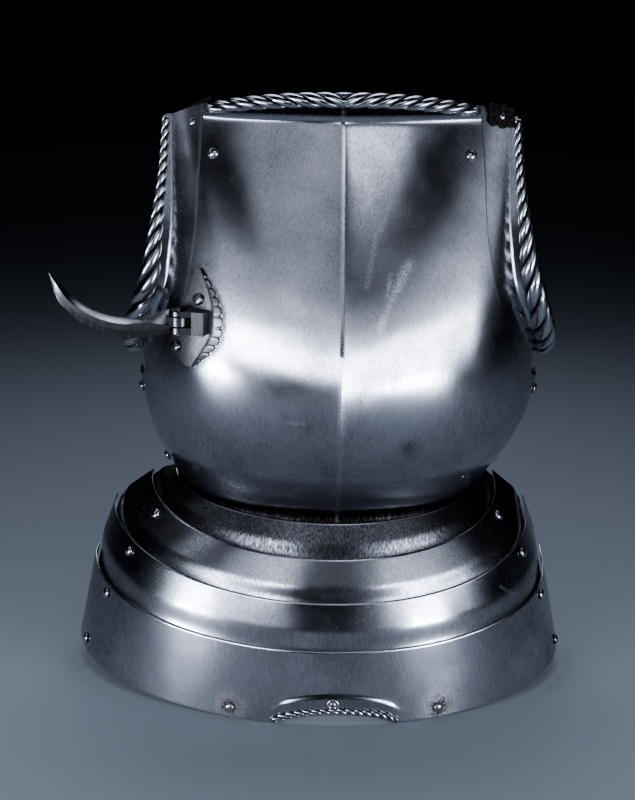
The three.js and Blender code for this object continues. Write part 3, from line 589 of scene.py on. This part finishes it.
def makeBreastplate():
    neck, chest, waist, tuck = breast["rows"]
    rows = np.concatenate([np.linspace(-1, 0, neck), np.linspace(0, 1, chest)[1:],
                           np.linspace(1, 1.5, waist)[1:], np.linspace(1.5, 1.95, tuck)[1:]])
    u, v = np.meshgrid(np.linspace(-1, 1, breast["columns"] + 1), rows)
    outer, inner = (offsetPoint(plateSkin, u, v, offset) for offset in (0, -breast["thickness"]))
    for grid in (outer, inner):
        easeRow(grid, neck - 1, 3)
        easeRow(grid, neck + chest - 2, 8)
    plate = plateShell(outer, inner)
    points, marks = plate["points"], plate["marks"]
    height = points[:, 2]
    # a painted highlight along the keel's ridge
    keelLine = breastMarks["keelHighlight"] * np.exp(-(points[:, 0] / breastMarks["keelWidth"]) ** 2)
    marks["bright"] = np.maximum(strokes(points, breastMarks["bright"]), keelLine)
    # painted shade: the waist hollow and the neck flange under the rope, darkened in colour
    paintedShade = np.maximum(breastMarks["waistDark"] * smoothStep(-height, *breastMarks["waistBand"]),
                       breastMarks["flangeDark"] * smoothStep(height, *breastMarks["flangeBand"]))
    # a painted shadow round the leaf plate's outline, set a little to one side
    leafEdge = restPlateSkin(0, np.linspace(0, restPlate["row"][-1], 12))
    leafEdge[:, 0] += breastMarks["leafShadowShift"]
    around = [(a[0], a[2], b[0], b[2], breastMarks["leafShadowWidth"], breastMarks["leafShadow"])
              for a, b in zip(leafEdge[:-1], leafEdge[1:])]
    marks["dark"] = np.maximum(paintedShade, np.maximum(spots(points, breastMarks["dark"]), strokes(points, around)))
    marks["rust"] = breastMarks["waistRust"] * smoothStep(-height, *breastMarks["rustBand"])
    t = np.linspace(0, 1, neckRope["steps"])
    spread = (t * 2 - 1) * neckRope["reach"]
    path = offsetPoint(plateSkin, spread, -1.0, -breast["thickness"] / 2)
    inward = np.sqrt(1 - (t * 2 - 1) ** 2)
    radii = neckRope["endRadius"] + (neckRope["centreRadius"] - neckRope["endRadius"]) * inward
    bead = ropeBead(path, radii, np.full_like(t, neckRope["pitch"]), True, -1)
    makePiece("breastplate_plate", [plate, bead], plateSteel, "breast", "breastplate")


def makeGusset(side, name):
    skin = gussetSkin(side)
    runs = armOpening["run"][-1]
    flat, turned = armOpening["across"]
    across = np.concatenate([np.linspace(0, 1, flat), np.linspace(1, 2, turned)[1:]])
    u, v = np.meshgrid(across, np.linspace(0, runs, armOpening["rows"]))
    outer, inner = (offsetPoint(skin, u, v, offset) for offset in (0, -armOpening["thickness"]))
    for grid in (outer, inner):
        easeRow(grid.swapaxes(0, 1), flat - 1, 3)
    plate = plateShell(outer, inner)
    t = np.linspace(armOpening["ropeInset"], runs - armOpening["ropeInset"], armOpening["steps"])
    path = offsetPoint(skin, 2.0, t, -armOpening["thickness"] / 2)
    radii = along(armOpening, "run", "rope", t)
    bead = ropeBead(path, radii, radii * armOpening["ropePitchPerRadius"], False, 1)
    # a painted shadow line shows where the plate comes out from under the breastplate's edge
    covered = armOpening["tuck"] / (1 + armOpening["tuck"])
    line = np.exp(-((u - covered - armOpening["edgeShadowFrom"]) / armOpening["edgeShadowWidth"]) ** 2)
    plate["marks"]["groove"] = onFront(line) * armOpening["darkening"]
    makePiece(name + "_plate", [plate, bead], plateSteel, name, name)


makeBreastplate()
makeGusset(-1, "gusset_right")
makeGusset(1, "gusset_left")
print("breastplate and gussets made")

# Skirt: four lames, each lapping over the one above it, the last with its arched and roped rim.
lames = [
    # dark: painted shade over the whole lame, deepest on lame 1 under the waist, less on lame 2, slight below
    {"name": "lame_1", "body": "breast", "from": 0, "covers": 0.5, "to": 1, "tuck": 0.6, "dark": 0.85},
    {"name": "lame_2", "body": "lame_2", "from": 1, "covers": 0.6, "to": 2, "tuck": 0.52, "dark": 0.4},
    {"name": "lame_3", "body": "lame_3", "from": 2, "covers": 0.52, "to": 3, "tuck": 0.34, "dark": 0.12},
    {"name": "lame_4", "body": "lame_4", "from": 3, "covers": 0.34, "to": 4, "tuck": 0, "dark": 0.12},
]
hemRivets = skirtSkin(np.radians([-24.3, 24.3]), np.array([3.865, 3.865]))
skirtMarks = {
    "rust": [(x, z, 7.5, 1.5) for x, _, z in hemRivets]
    + [(x + 10, z + 3, 4, 0.9) for x, _, z in hemRivets],  # a smaller bloom beside each rivet
    "bright": [(188, -420, 200, -440, 1.6, 0.9), (160, -452, 178, -466, 1.4, 0.8),
               (184, -424, 204, -424, 1.2, 0.7)],
    "dark": [(58, -520, 16, 0.55), (70, -545, 9, 0.5), (-60, -470, 22, 0.4)],
    "sideDark": 0.5, "sideBand": (150, 230),
}


def makeLame(lame):
    last = lame["tuck"] == 0
    lines = np.linspace(lame["from"], lame["to"] + lame["tuck"], skirt["rows"])
    angles = np.linspace(-skirt["endAngle"], skirt["endAngle"], skirt["columns"] + 1)
    u, v = np.meshgrid(angles, lines)
    ridge = 0.0
    if last:
        cut = notchLift(skirtSkin(angles, 4.0)[:, 0])
        t = (lines - lame["from"])[:, None]
        v = lame["from"] + t * (1 - cut)[None, :]
        x = skirtSkin(u, v)[..., 0]
        near = smoothStep(skirt["notchHalfWidth"] * skirt["foldReach"] - np.abs(x), 0, skirt["foldFade"])
        above = (4 - cut)[None, :] - v - skirt["foldAbove"]
        ridge = skirt["foldRise"] * near * np.exp(-(above / skirt["foldWidth"]) ** 2)
    outer = lamePoint(lame, u, v, -ridge)
    inner = lamePoint(lame, u, v, skirt["thickness"] - ridge)
    plate = plateShell(outer.swapaxes(0, 1).copy(), inner.swapaxes(0, 1).copy(), roundness=0.6)
    points, marks = plate["points"], plate["marks"]
    marks["rust"] = spots(points, skirtMarks["rust"])
    marks["bright"] = strokes(points, skirtMarks["bright"])
    # painted shade toward the sides, where the lames turn away
    sides = skirtMarks["sideDark"] * smoothStep(np.abs(points[:, 0]), *skirtMarks["sideBand"])
    marks["dark"] = np.maximum(np.maximum(spots(points, skirtMarks["dark"]), sides), lame["dark"])
    parts = [plate]
    if last:
        x = np.linspace(-1, 1, skirt["notchRopeSteps"]) * skirt["notchHalfWidth"] * skirt["notchRopeReach"]
        angle = np.arcsin(x / skirt["halfWidth"][-1])
        path = lamePoint(lame, angle, 4 - notchLift(x), skirt["thickness"] / 2)
        radii, pitches = (np.full_like(x, skirt[c]) for c in ("notchRopeRadius", "notchRopePitch"))
        parts.append(ropeBead(path, radii, pitches, False, 1, skirt["notchRopeSides"]))
    makePiece(lame["name"] + "_plate", parts, skirtSteel, lame["body"], lame["name"])


for lame in lames:
    makeLame(lame)
print("skirt made")

# Rivets and screws, by kind and by place, as in the frame: on the breast at an angle and a
# height, or on the skirt at an angle and a line.
rivetKinds = {
    "domed": {"head": 5.2, "rise": 3.4, "shank": 2.1, "tail": 3.6, "tailRise": 1},
    "small": {"head": 3.2, "rise": 1.2, "shank": 1.4, "tail": 2.4, "tailRise": 0.8},
    "flat": {"head": 6, "rise": 1.4, "shank": 2.1, "tail": 3.6, "tailRise": 1},
    "screw": {"head": 5.4, "rise": 3, "shank": 2.4, "tail": 2.4, "tailRise": 0.1},
}
both, right, left = (-1, 1), (-1,), (1,)
# name, kind, skin, degrees, height or line, grip, lift off the skin, sides, body
rivetPlaces = [
    ("neck_rivet", "domed", "breast", 33.5, -31, 5.8, 0, both, "breast"),
    ("gusset_pivot", "domed", "breast", 80, -270, 11.5, 0, both, "breast"),
    ("side_strap_rivet", "domed", "breast", 81.5, -344, 5.4, 1, both, "breast"),
    ("waist_rivet", "small", "breast", 43.4, -337, 2.8, 0, left, "breast"),
    ("lame_2_pivot", "domed", "skirt", 68.5, 1.26, 5.2, 0, both, "lame_2"),
    ("lame_3_pivot", "domed", "skirt", 66.5, 2.2, 5.6, 0, both, "lame_3"),
    ("lame_4_pivot", "domed", "skirt", 70.5, 3.12, 6, 0, both, "lame_4"),
    ("hem_side_rivet", "domed", "skirt", 79, 3.88, 2.4, 0, both, "lame_4"),
    ("hem_front_rivet", "domed", "skirt", 24.3, 3.865, 2.2, 0, both, "lame_4"),
    ("hem_middle_rivet", "flat", "skirt", 0.6, 3.71, 3.2, 0.9, right, "lame_4"),
    ("strap_rivet_right", "small", "breast", 42, -5, 6.6, -3, right, "gusset_right"),
    ("strap_rivet_left", "small", "breast", 45.8, 1, 5.6, 0.8, left, "gusset_left"),
    ("lance_rest_screw_upper", "screw", "breast", 37.4, -159, 5.1, 3.3, right, "breast"),
    ("lance_rest_screw_lower", "screw", "breast", 46.2, -205, 5.1, 3.3, right, "breast"),
]
rivetMarks = {"foot": 0.9, "screwDark": 0.7, "hemRust": 0.8, "peenLean": 0.1, "sides": 28}
screwSlot = {"width": 1.5, "depth": 1.6, "reach": 9, "lance_rest_screw_upper": 62,
             "lance_rest_screw_lower": 20}  # the last two are the slots' turns in degrees
seatGap = 0.35
axisRadius = 0.05  # a turned profile starts and ends on a ring this small


# A turned body: a closed profile of radius and height, spun round its axis.
def spun(profile, sides, **marks):
    around = np.arange(sides) / sides * 2 * math.pi
    profile = np.array(profile, float)
    rings = vectors(profile[:, 0, None] * np.cos(around), profile[:, 0, None] * np.sin(around),
                    profile[:, 1, None] * np.ones(sides))
    marks = {name: np.repeat(value, sides) for name, value in marks.items()}
    return part(rings.reshape(-1, 3), ringFaces(len(profile), sides), **marks)


def rivetProfile(kind, grip, style):
    head, rise, tail, shank = (kind[key] for key in ("head", "rise", "tail", "shank"))
    bottom = -grip - 2 * seatGap
    end = bottom - kind["tailRise"]
    profile = [(axisRadius, end), (tail * 0.8, end), (tail, bottom - kind["tailRise"] * 0.5),
               (tail, bottom), (shank, bottom), (shank, 0), (head * 0.97, 0)]
    foot = len(profile)
    if style in ("domed", "small"):
        profile += [(head * math.cos(math.radians(a)) ** 0.9, rise * math.sin(math.radians(a)))
                    for a in np.linspace(8, 88, 9)]
    elif style == "flat":
        profile += [(head, 0.3), (head, rise * 0.6), (head * 0.93, rise * 0.9), (head * 0.6, rise),
                    (head * 0.52, rise * 0.75), (head * 0.44, rise * 0.75), (head * 0.36, rise),
                    (axisRadius, rise)]
    else:
        profile += [(head, 0.5), (head, rise * 0.45), (head * 0.9, rise * 0.8),
                    (head * 0.72, rise * 0.97), (head * 0.3, rise * 1.06), (axisRadius, rise * 1.08)]
    # the head is darker round its foot, where it meets the plate
    darkening = np.array([1.0 if i < foot + 1 else 0.0 for i in range(len(profile))])
    return profile, darkening


# Stands a shape made round the z axis on a seat, along its normal.
def standOn(points, seat, normal):
    level = unit(np.cross(normal, np.array([0, 0, 1.0])))
    up = np.cross(normal, level)
    return seat + points[:, 0:1] * level + points[:, 1:2] * up + points[:, 2:3] * normal


# Turns a piece's modifiers into its own mesh.
def settle(piece):
    bpy.context.view_layer.update()
    piece.data = bpy.data.meshes.new_from_object(piece.evaluated_get(bpy.context.evaluated_depsgraph_get()))
    piece.modifiers.clear()
    return piece.data


def cutSlot(piece, seat, normal, kind, turn):
    reach, half, floor = screwSlot["reach"], screwSlot["width"] / 2, kind["rise"] - screwSlot["depth"]
    angle = math.radians(turn)
    box = np.array([[x, y, z] for x in (-reach, reach) for y in (-half, half) for z in (floor, reach)], float)
    c, s = math.cos(angle), math.sin(angle)
    spin = np.array([[c, s, 0], [-s, c, 0], [0, 0, 1]])
    points = standOn(box @ spin, seat, normal) * mm
    faces = [[0, 1, 3, 2], [4, 6, 7, 5], [0, 4, 5, 1], [2, 3, 7, 6], [0, 2, 6, 4], [1, 5, 7, 3]]
    cutter = newObject("slot", newMesh("slot", points.tolist(), faces))
    modifier = piece.modifiers.new("slot", "BOOLEAN")
    modifier.object, modifier.operation, modifier.solver = cutter, "DIFFERENCE", "EXACT"
    settle(piece)
    bpy.data.objects.remove(cutter)


def makeRivets():
    for name, style, where, degrees, at, grip, lift, sides, body in rivetPlaces:
        kind = rivetKinds[style]
        skin = breastSkin if where == "breast" else skirtSkin
        for side in sides:
            node = name + ({-1: "_right", 1: "_left"}[side] if sides == both else "")
            angle = side * math.radians(degrees)
            normal = skinNormal(skin, angle, at)
            seat = skin(angle, at) + normal * (seatGap + lift)
            profile, darkening = rivetProfile(kind, grip, style)
            turned = spun(profile, rivetMarks["sides"], groove=darkening * rivetMarks["foot"])
            points = turned["points"]
            if style == "domed":
                # each dome was peened by hand and leans a little its own way
                rise = np.maximum(points[:, 2], 0)
                points[:, 0] += rise * rivetMarks["peenLean"] * math.sin(degrees * 7 + side * 2.1)
                points[:, 1] += rise * rivetMarks["peenLean"] * math.cos(degrees * 5 + side)
            rivet = part(standOn(points, seat, normal), turned["faces"], **turned["marks"])
            if style == "screw":
                rivet["marks"]["dark"] = np.full(len(points), rivetMarks["screwDark"])
            if name == "hem_front_rivet":
                low = np.clip(1 - points[:, 2] / kind["rise"], 0, 1)
                rivet["marks"]["rust"] = low * rivetMarks["hemRust"]
            piece = makePiece(node + "_head", [rivet], rivetSteel, body, node, 50)
            if style == "screw":
                cutSlot(piece, seat, normal, kind, screwSlot[name])


makeRivets()
print("rivets made")

# Lance rest: the leaf plate with a filed, notched edge, its hinge block, and the curved arm.
hinge = {"x": -147, "y": -134, "pin": 3, "knuckle": 8.5, "splitGap": 0.35,
         "top": -166.5, "upperSplit": -171.5, "lowerSplit": -181.5, "bottom": -188.5}
restArm = {
    "reach": [9.6, 20, 32, 50, 70, 86, 100, 110, 117],
    "low": [-187, -190, -192, -191.5, -186.5, -179, -168.5, -156, -134.5],
    "frontTop": [-179, -177.5, -176.5, -178, -174, -166.5, -156, -142.5, -132],
    "backTop": [-168, -172, -176, -177, -173, -165, -153.5, -140, -131],
    "half": [8.5, 9, 9, 9, 8.5, 8, 6.5, 4.5, 1.4],
    "scallops": 4, "scallopFrom": 30, "scallopFade": 60, "scallopRun": 80, "scallopDepth": 0.7,
    "lowBevel": 1.2, "crown": 0.5, "frontDark": 0.8, "steps": 90, "cornerMm": 0.8,
}


# A plan outline raised between two heights.
def prism(outline, low, high):
    count = len(outline)
    points = np.array([[x, y, z] for z in (low, high) for x, y in outline], float)
    faces = [list(range(count))[::-1], list(range(count, 2 * count))]
    faces += [[i, (i + 1) % count, count + (i + 1) % count, count + i] for i in range(count)]
    return part(points, faces)


# A round post on the hinge's axis, between two heights.
def post(radius, low, high, sides=40, crown=0.0):
    edge = min(0.7, radius * 0.25)
    profile = [(axisRadius, low - crown), (radius - edge, low), (radius, low + edge), (radius, high - edge),
               (radius - edge, high), (axisRadius, high + crown)]
    turned = spun(profile, sides)
    turned["points"] += np.array([hinge["x"], hinge["y"], 0])
    return turned


# Eases a piece's sharp corners by a width in millimetres.
def bevelled(piece, width):
    modifier = piece.modifiers.new("bevel", "BEVEL")
    modifier.width, modifier.segments, modifier.limit_method = width * mm, 3, "ANGLE"
    modifier.angle_limit = math.radians(32)
    modifier.harden_normals = False


def makeLanceRest():
    last = restPlate["row"][-1]
    u, v = np.meshgrid(np.linspace(0, 1, restPlate["columns"]), np.linspace(0, last, restPlate["rows"]))
    # the bowed side is filed to a thin bevel and cut with small notches
    wave = np.maximum(0, np.cos(v / last * restPlate["notches"] * 2 * math.pi)) ** 3
    nearEdge = np.clip(1 - u / restPlate["bevel"], 0, 1)
    chordMm = along(restPlate, "row", "chord", v) - along(restPlate, "row", "edge", v)
    shifted = u + nearEdge * wave * restPlate["notchDepth"] / np.maximum(chordMm, 4)
    thick = restPlate["thickness"] * (1 - restPlate["bevelThins"] * nearEdge)
    outer = offsetPoint(restPlateSkin, shifted, v, seatGap + thick)
    inner = offsetPoint(restPlateSkin, shifted, v, seatGap)
    plate = plateShell(outer, inner, roundness=0.4)
    # a painted shade line along the bevel's inner edge
    line = np.exp(-((u - restPlate["bevel"]) / restPlate["bevelShadeWidth"]) ** 2)
    plate["marks"]["groove"] = onFront(line) * restPlate["bevelShade"]
    filed = onFront(smoothStep(-u, -restPlate["bevel"], -restPlate["bevel"] * 0.4))
    plate["marks"]["worn"] = np.maximum(plate["marks"]["worn"], filed)
    x, y = hinge["x"], hinge["y"]
    block = prism([(x + 11, y - 9), (x + 22, y - 12), (x + 28, y + 2), (x + 14, y + 9.2)],
                  hinge["bottom"], hinge["top"])
    block["marks"]["dark"] = np.full(len(block["points"]), restPlate["blockDark"])
    parts = [plate, block]
    lug = [(x + 1, y - 8.4), (x + 11.2, y - 9), (x + 14.2, y + 8), (x + 1, y + 8.4)]
    for low, high in ((hinge["upperSplit"], hinge["top"]), (hinge["bottom"], hinge["lowerSplit"])):
        parts += [prism(lug, low, high), post(hinge["knuckle"], low, high)]
    base = makePiece("lance_rest_base_plate", parts, forgedSteel, "breast", "lance_rest_base",
                     35)
    bevelled(base, restPlate["cornerMm"])

    reach = np.linspace(restArm["reach"][0], restArm["reach"][-1], restArm["steps"])
    columns = ("low", "frontTop", "backTop", "half")
    low, front, back, half = (along(restArm, "reach", c, reach) for c in columns)
    swing = np.clip((reach - restArm["scallopFrom"]) / restArm["scallopFade"], 0, 1)
    wave = np.cos(reach / restArm["scallopRun"] * restArm["scallops"] * 2 * math.pi)
    low = low + restArm["scallopDepth"] * swing * wave
    # the arm's section: a share of its half depth and a height for each corner, from the front
    edge, crown = low + restArm["lowBevel"], restArm["crown"]
    section = [(-1, edge), (-1, (low + front) / 2), (-1, front), (-0.35, front * 0.62 + back * 0.38 + crown),
               (0.35, front * 0.3 + back * 0.7 + crown), (1, back), (1, edge), (0, low)]
    rings = np.stack([vectors(x - reach, y + depth * half, height) for depth, height in section], axis=1)
    count, sides = rings.shape[:2]
    face = np.zeros((count, sides))
    face[:, :2] = restArm["frontDark"]
    blade = part(rings.reshape(-1, 3), ringFaces(count, sides), dark=face.ravel())
    top, bottom = hinge["upperSplit"] - hinge["splitGap"], hinge["lowerSplit"] + hinge["splitGap"]
    link = prism([(x - 12, y - 7), (x, y - 7), (x, y + 7), (x - 12, y + 7)], bottom, top)
    knuckle = post(hinge["knuckle"], bottom, top)
    arm = makePiece("lance_rest_arm_blade", [blade, link, knuckle], forgedSteel, "lance_rest_arm",
                    "lance_rest_arm", 35)
    bevelled(arm, restArm["cornerMm"])
    pin = post(hinge["pin"], hinge["bottom"] - 1, hinge["top"] + 1, 32, 0.5)
    makePiece("lance_rest_pin_head", [pin], forgedSteel, "breast", "lance_rest_pin")


makeLanceRest()
print("lance rest made")

# What is left of the two shoulder straps: flat hide, torn or cut across, on the gussets' tops.
strapStubs = {
    "thickness": 2.6, "voxelMm": 0.7, "crumple": 0.5, "crumpleMm": 6.25, "pucker": 0.2, "edgeWorn": 0.6,
    "places": [
        {"name": "strap_stub_right", "body": "gusset_right",
         "side": -1, "degrees": 42, "at": -8, "lift": -8.9,
         "outline": [(-17, -22), (17, -22), (17, 27.5), (2, 21), (-17, 14.5)]},
        {"name": "strap_stub_left", "body": "gusset_left",
         "side": 1, "degrees": 45.8, "at": 1, "lift": -1.9,
         "outline": [(-13, -10), (-7, -8), (-2, -11), (4, -7), (9, -9), (14, -4), (13, 3), (15, 9), (9, 13),
                     (3, 10), (-4, 12), (-9, 8), (-14, 9), (-12, 0)]},
    ],
}


def makeStrapStub(stub):
    angle, side = stub["side"] * math.radians(stub["degrees"]), stub["side"]
    normal = skinNormal(breastSkin, angle, stub["at"])
    up = unit(breastSkin(angle, stub["at"] + 1) - breastSkin(angle, stub["at"]))
    across = np.cross(up, normal)
    place = breastSkin(angle, stub["at"]) + normal * stub["lift"]
    solid = prism([(-side * x, y) for x, y in stub["outline"]], 0, strapStubs["thickness"])
    local = solid["points"]
    solid["points"] = place + local[:, 0:1] * across + local[:, 1:2] * up + local[:, 2:3] * normal
    piece = makePiece(stub["name"] + "_hide", [solid], leather, stub["body"], stub["name"], 60)
    remesh = piece.modifiers.new("grid", "REMESH")
    remesh.mode, remesh.voxel_size, remesh.use_smooth_shade = "VOXEL", strapStubs["voxelMm"] * mm, True
    fine = settle(piece)
    fine.materials.clear()
    fine.materials.append(leather)
    worn = []
    for vertex in fine.vertices:
        spot = vertex.co * 1000
        broad, close = noise.noise(spot / strapStubs["crumpleMm"]), noise.noise(spot * 0.7)
        push = broad * strapStubs["crumple"] + close * strapStubs["pucker"]
        vertex.co += Vector(normal) * push * mm
        depth = (np.array(spot) - place) @ normal / strapStubs["thickness"]
        middle = 1 - abs(abs(depth - 0.5) - 0.1) * 3.2  # the paler fibres inside a torn edge
        worn.append(float(np.clip(middle, 0, 1)) * strapStubs["edgeWorn"])
    fine.attributes.new("worn", "FLOAT", "POINT").data.foreach_set("value", worn)


for stub in strapStubs["places"]:
    makeStrapStub(stub)
print("strap stubs made")

# Studio: a pale floor in a dim, cool surround, under soft boxes. The two bands and the boxes at
# their feet draw the bright shapes in the polished steel; the wide ones fill between them.
studio = {
    "floor": "#afb4bb", "floorSize": 16, "surround": "#243044", "surroundStrength": 0.08,
    "look": "AgX - High Contrast", "middle": (0.0, -0.15, -0.24),
    # name; azimuth from the front toward the viewer's right, and height above the middle, in
    # degrees; distance, width and length in metres; radiance
    "boxes": [
        ("band_left", -37, 4, 1.5, 0.95, 0.28, 2.7), ("tall_left", -57, -6, 1.45, 0.4, 0.3, 2.6),
        ("foot_left", -57, -10, 1.3, 0.42, 0.14, 4.5), ("wide_left", -32, 14, 1.6, 1.0, 0.5, 0.24),
        ("high_left", -70, 28, 1.5, 0.36, 0.34, 0.3), ("band_right", 42, 4, 1.5, 1.15, 0.28, 2.3),
        ("tall_right", 40, -6, 1.45, 0.4, 0.3, 2.2), ("foot_right", 40, -10, 1.3, 0.36, 0.14, 3.5),
        ("wide_right", 50, 15, 1.6, 1.5, 0.5, 0.24), ("overhead", -4, 34, 1.6, 1.4, 1.0, 0.2),
        ("peak", 13, 42, 1.6, 0.5, 0.4, 0.5), ("side_left", -92, 42, 1.6, 0.5, 0.5, 0.35),
        ("side_right", 92, 42, 1.6, 0.5, 0.5, 0.12), ("rim", 180, 66, 1.7, 1.8, 0.7, 0.9),
        ("back", 180, 30, 1.7, 0.9, 0.5, 0.8),
    ],
    "colour": "#e4ebfa", "spread": math.radians(110),
    "cameraPlace": (-0.0657, -1.8677, 0.3116), "cameraTarget": (-0.0184, -0.0613, -0.2755),
    "lens": 89.0, "roll": math.radians(0.8),
}


def makeStudio():
    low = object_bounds()[0][2]
    half = studio["floorSize"] / 2
    corners = [(-half, -half, low), (half, -half, low), (half, half, low), (-half, half, low)]
    mesh = newMesh("floor", corners, [[0, 1, 2, 3]])
    paint, tree = blankMaterial("matt_painted_floor")  # a pale, even, dull ground
    shader = addNode(tree, "ShaderNodeBsdfPrincipled", {
        "Base Color": toLinear(studio["floor"]), "Roughness": 0.9}, "BSDF")
    addNode(tree, "ShaderNodeOutputMaterial", {"Surface": shader})
    mesh.materials.append(paint)
    newObject("floor", mesh)
    middle = Vector(studio["middle"])
    for name, azimuth, height, distance, width, length, radiance in studio["boxes"]:
        turn, rise = math.radians(azimuth), math.radians(height)
        way = Vector((math.sin(turn) * math.cos(rise), -math.cos(turn) * math.cos(rise), math.sin(rise)))
        light = bpy.data.lights.new(name, "AREA")
        light.shape, light.size, light.size_y = "RECTANGLE", width, length
        light.energy = radiance * math.pi * light.size * light.size_y
        light.color = toLinear(studio["colour"])[:3]
        light.spread = studio["spread"]
        lamp = newObject(name, light)
        lamp.location = middle + way * distance
        lamp.rotation_euler = (-way).to_track_quat("-Z", "Y").to_euler()
        lamp.visible_camera = False
    world = bpy.data.worlds.new("studio_surround")
    world.use_nodes = True
    sky = world.node_tree.nodes["Background"]
    sky.inputs["Color"].default_value = toLinear(studio["surround"])
    sky.inputs["Strength"].default_value = studio["surroundStrength"]
    bpy.context.scene.world = world
    bpy.context.scene.view_settings.look = studio["look"]
    cameraData = bpy.data.cameras.new("camera")
    cameraData.lens, cameraData.sensor_width = studio["lens"], 36
    camera = newObject("camera", cameraData)
    camera.location = studio["cameraPlace"]
    aim = Vector(studio["cameraTarget"]) - camera.location
    camera.rotation_euler = aim.to_track_quat("-Z", "Y").to_euler()
    camera.rotation_euler.rotate_axis("Z", studio["roll"])
    bpy.context.scene.camera = camera


makeStudio()
print("studio made")
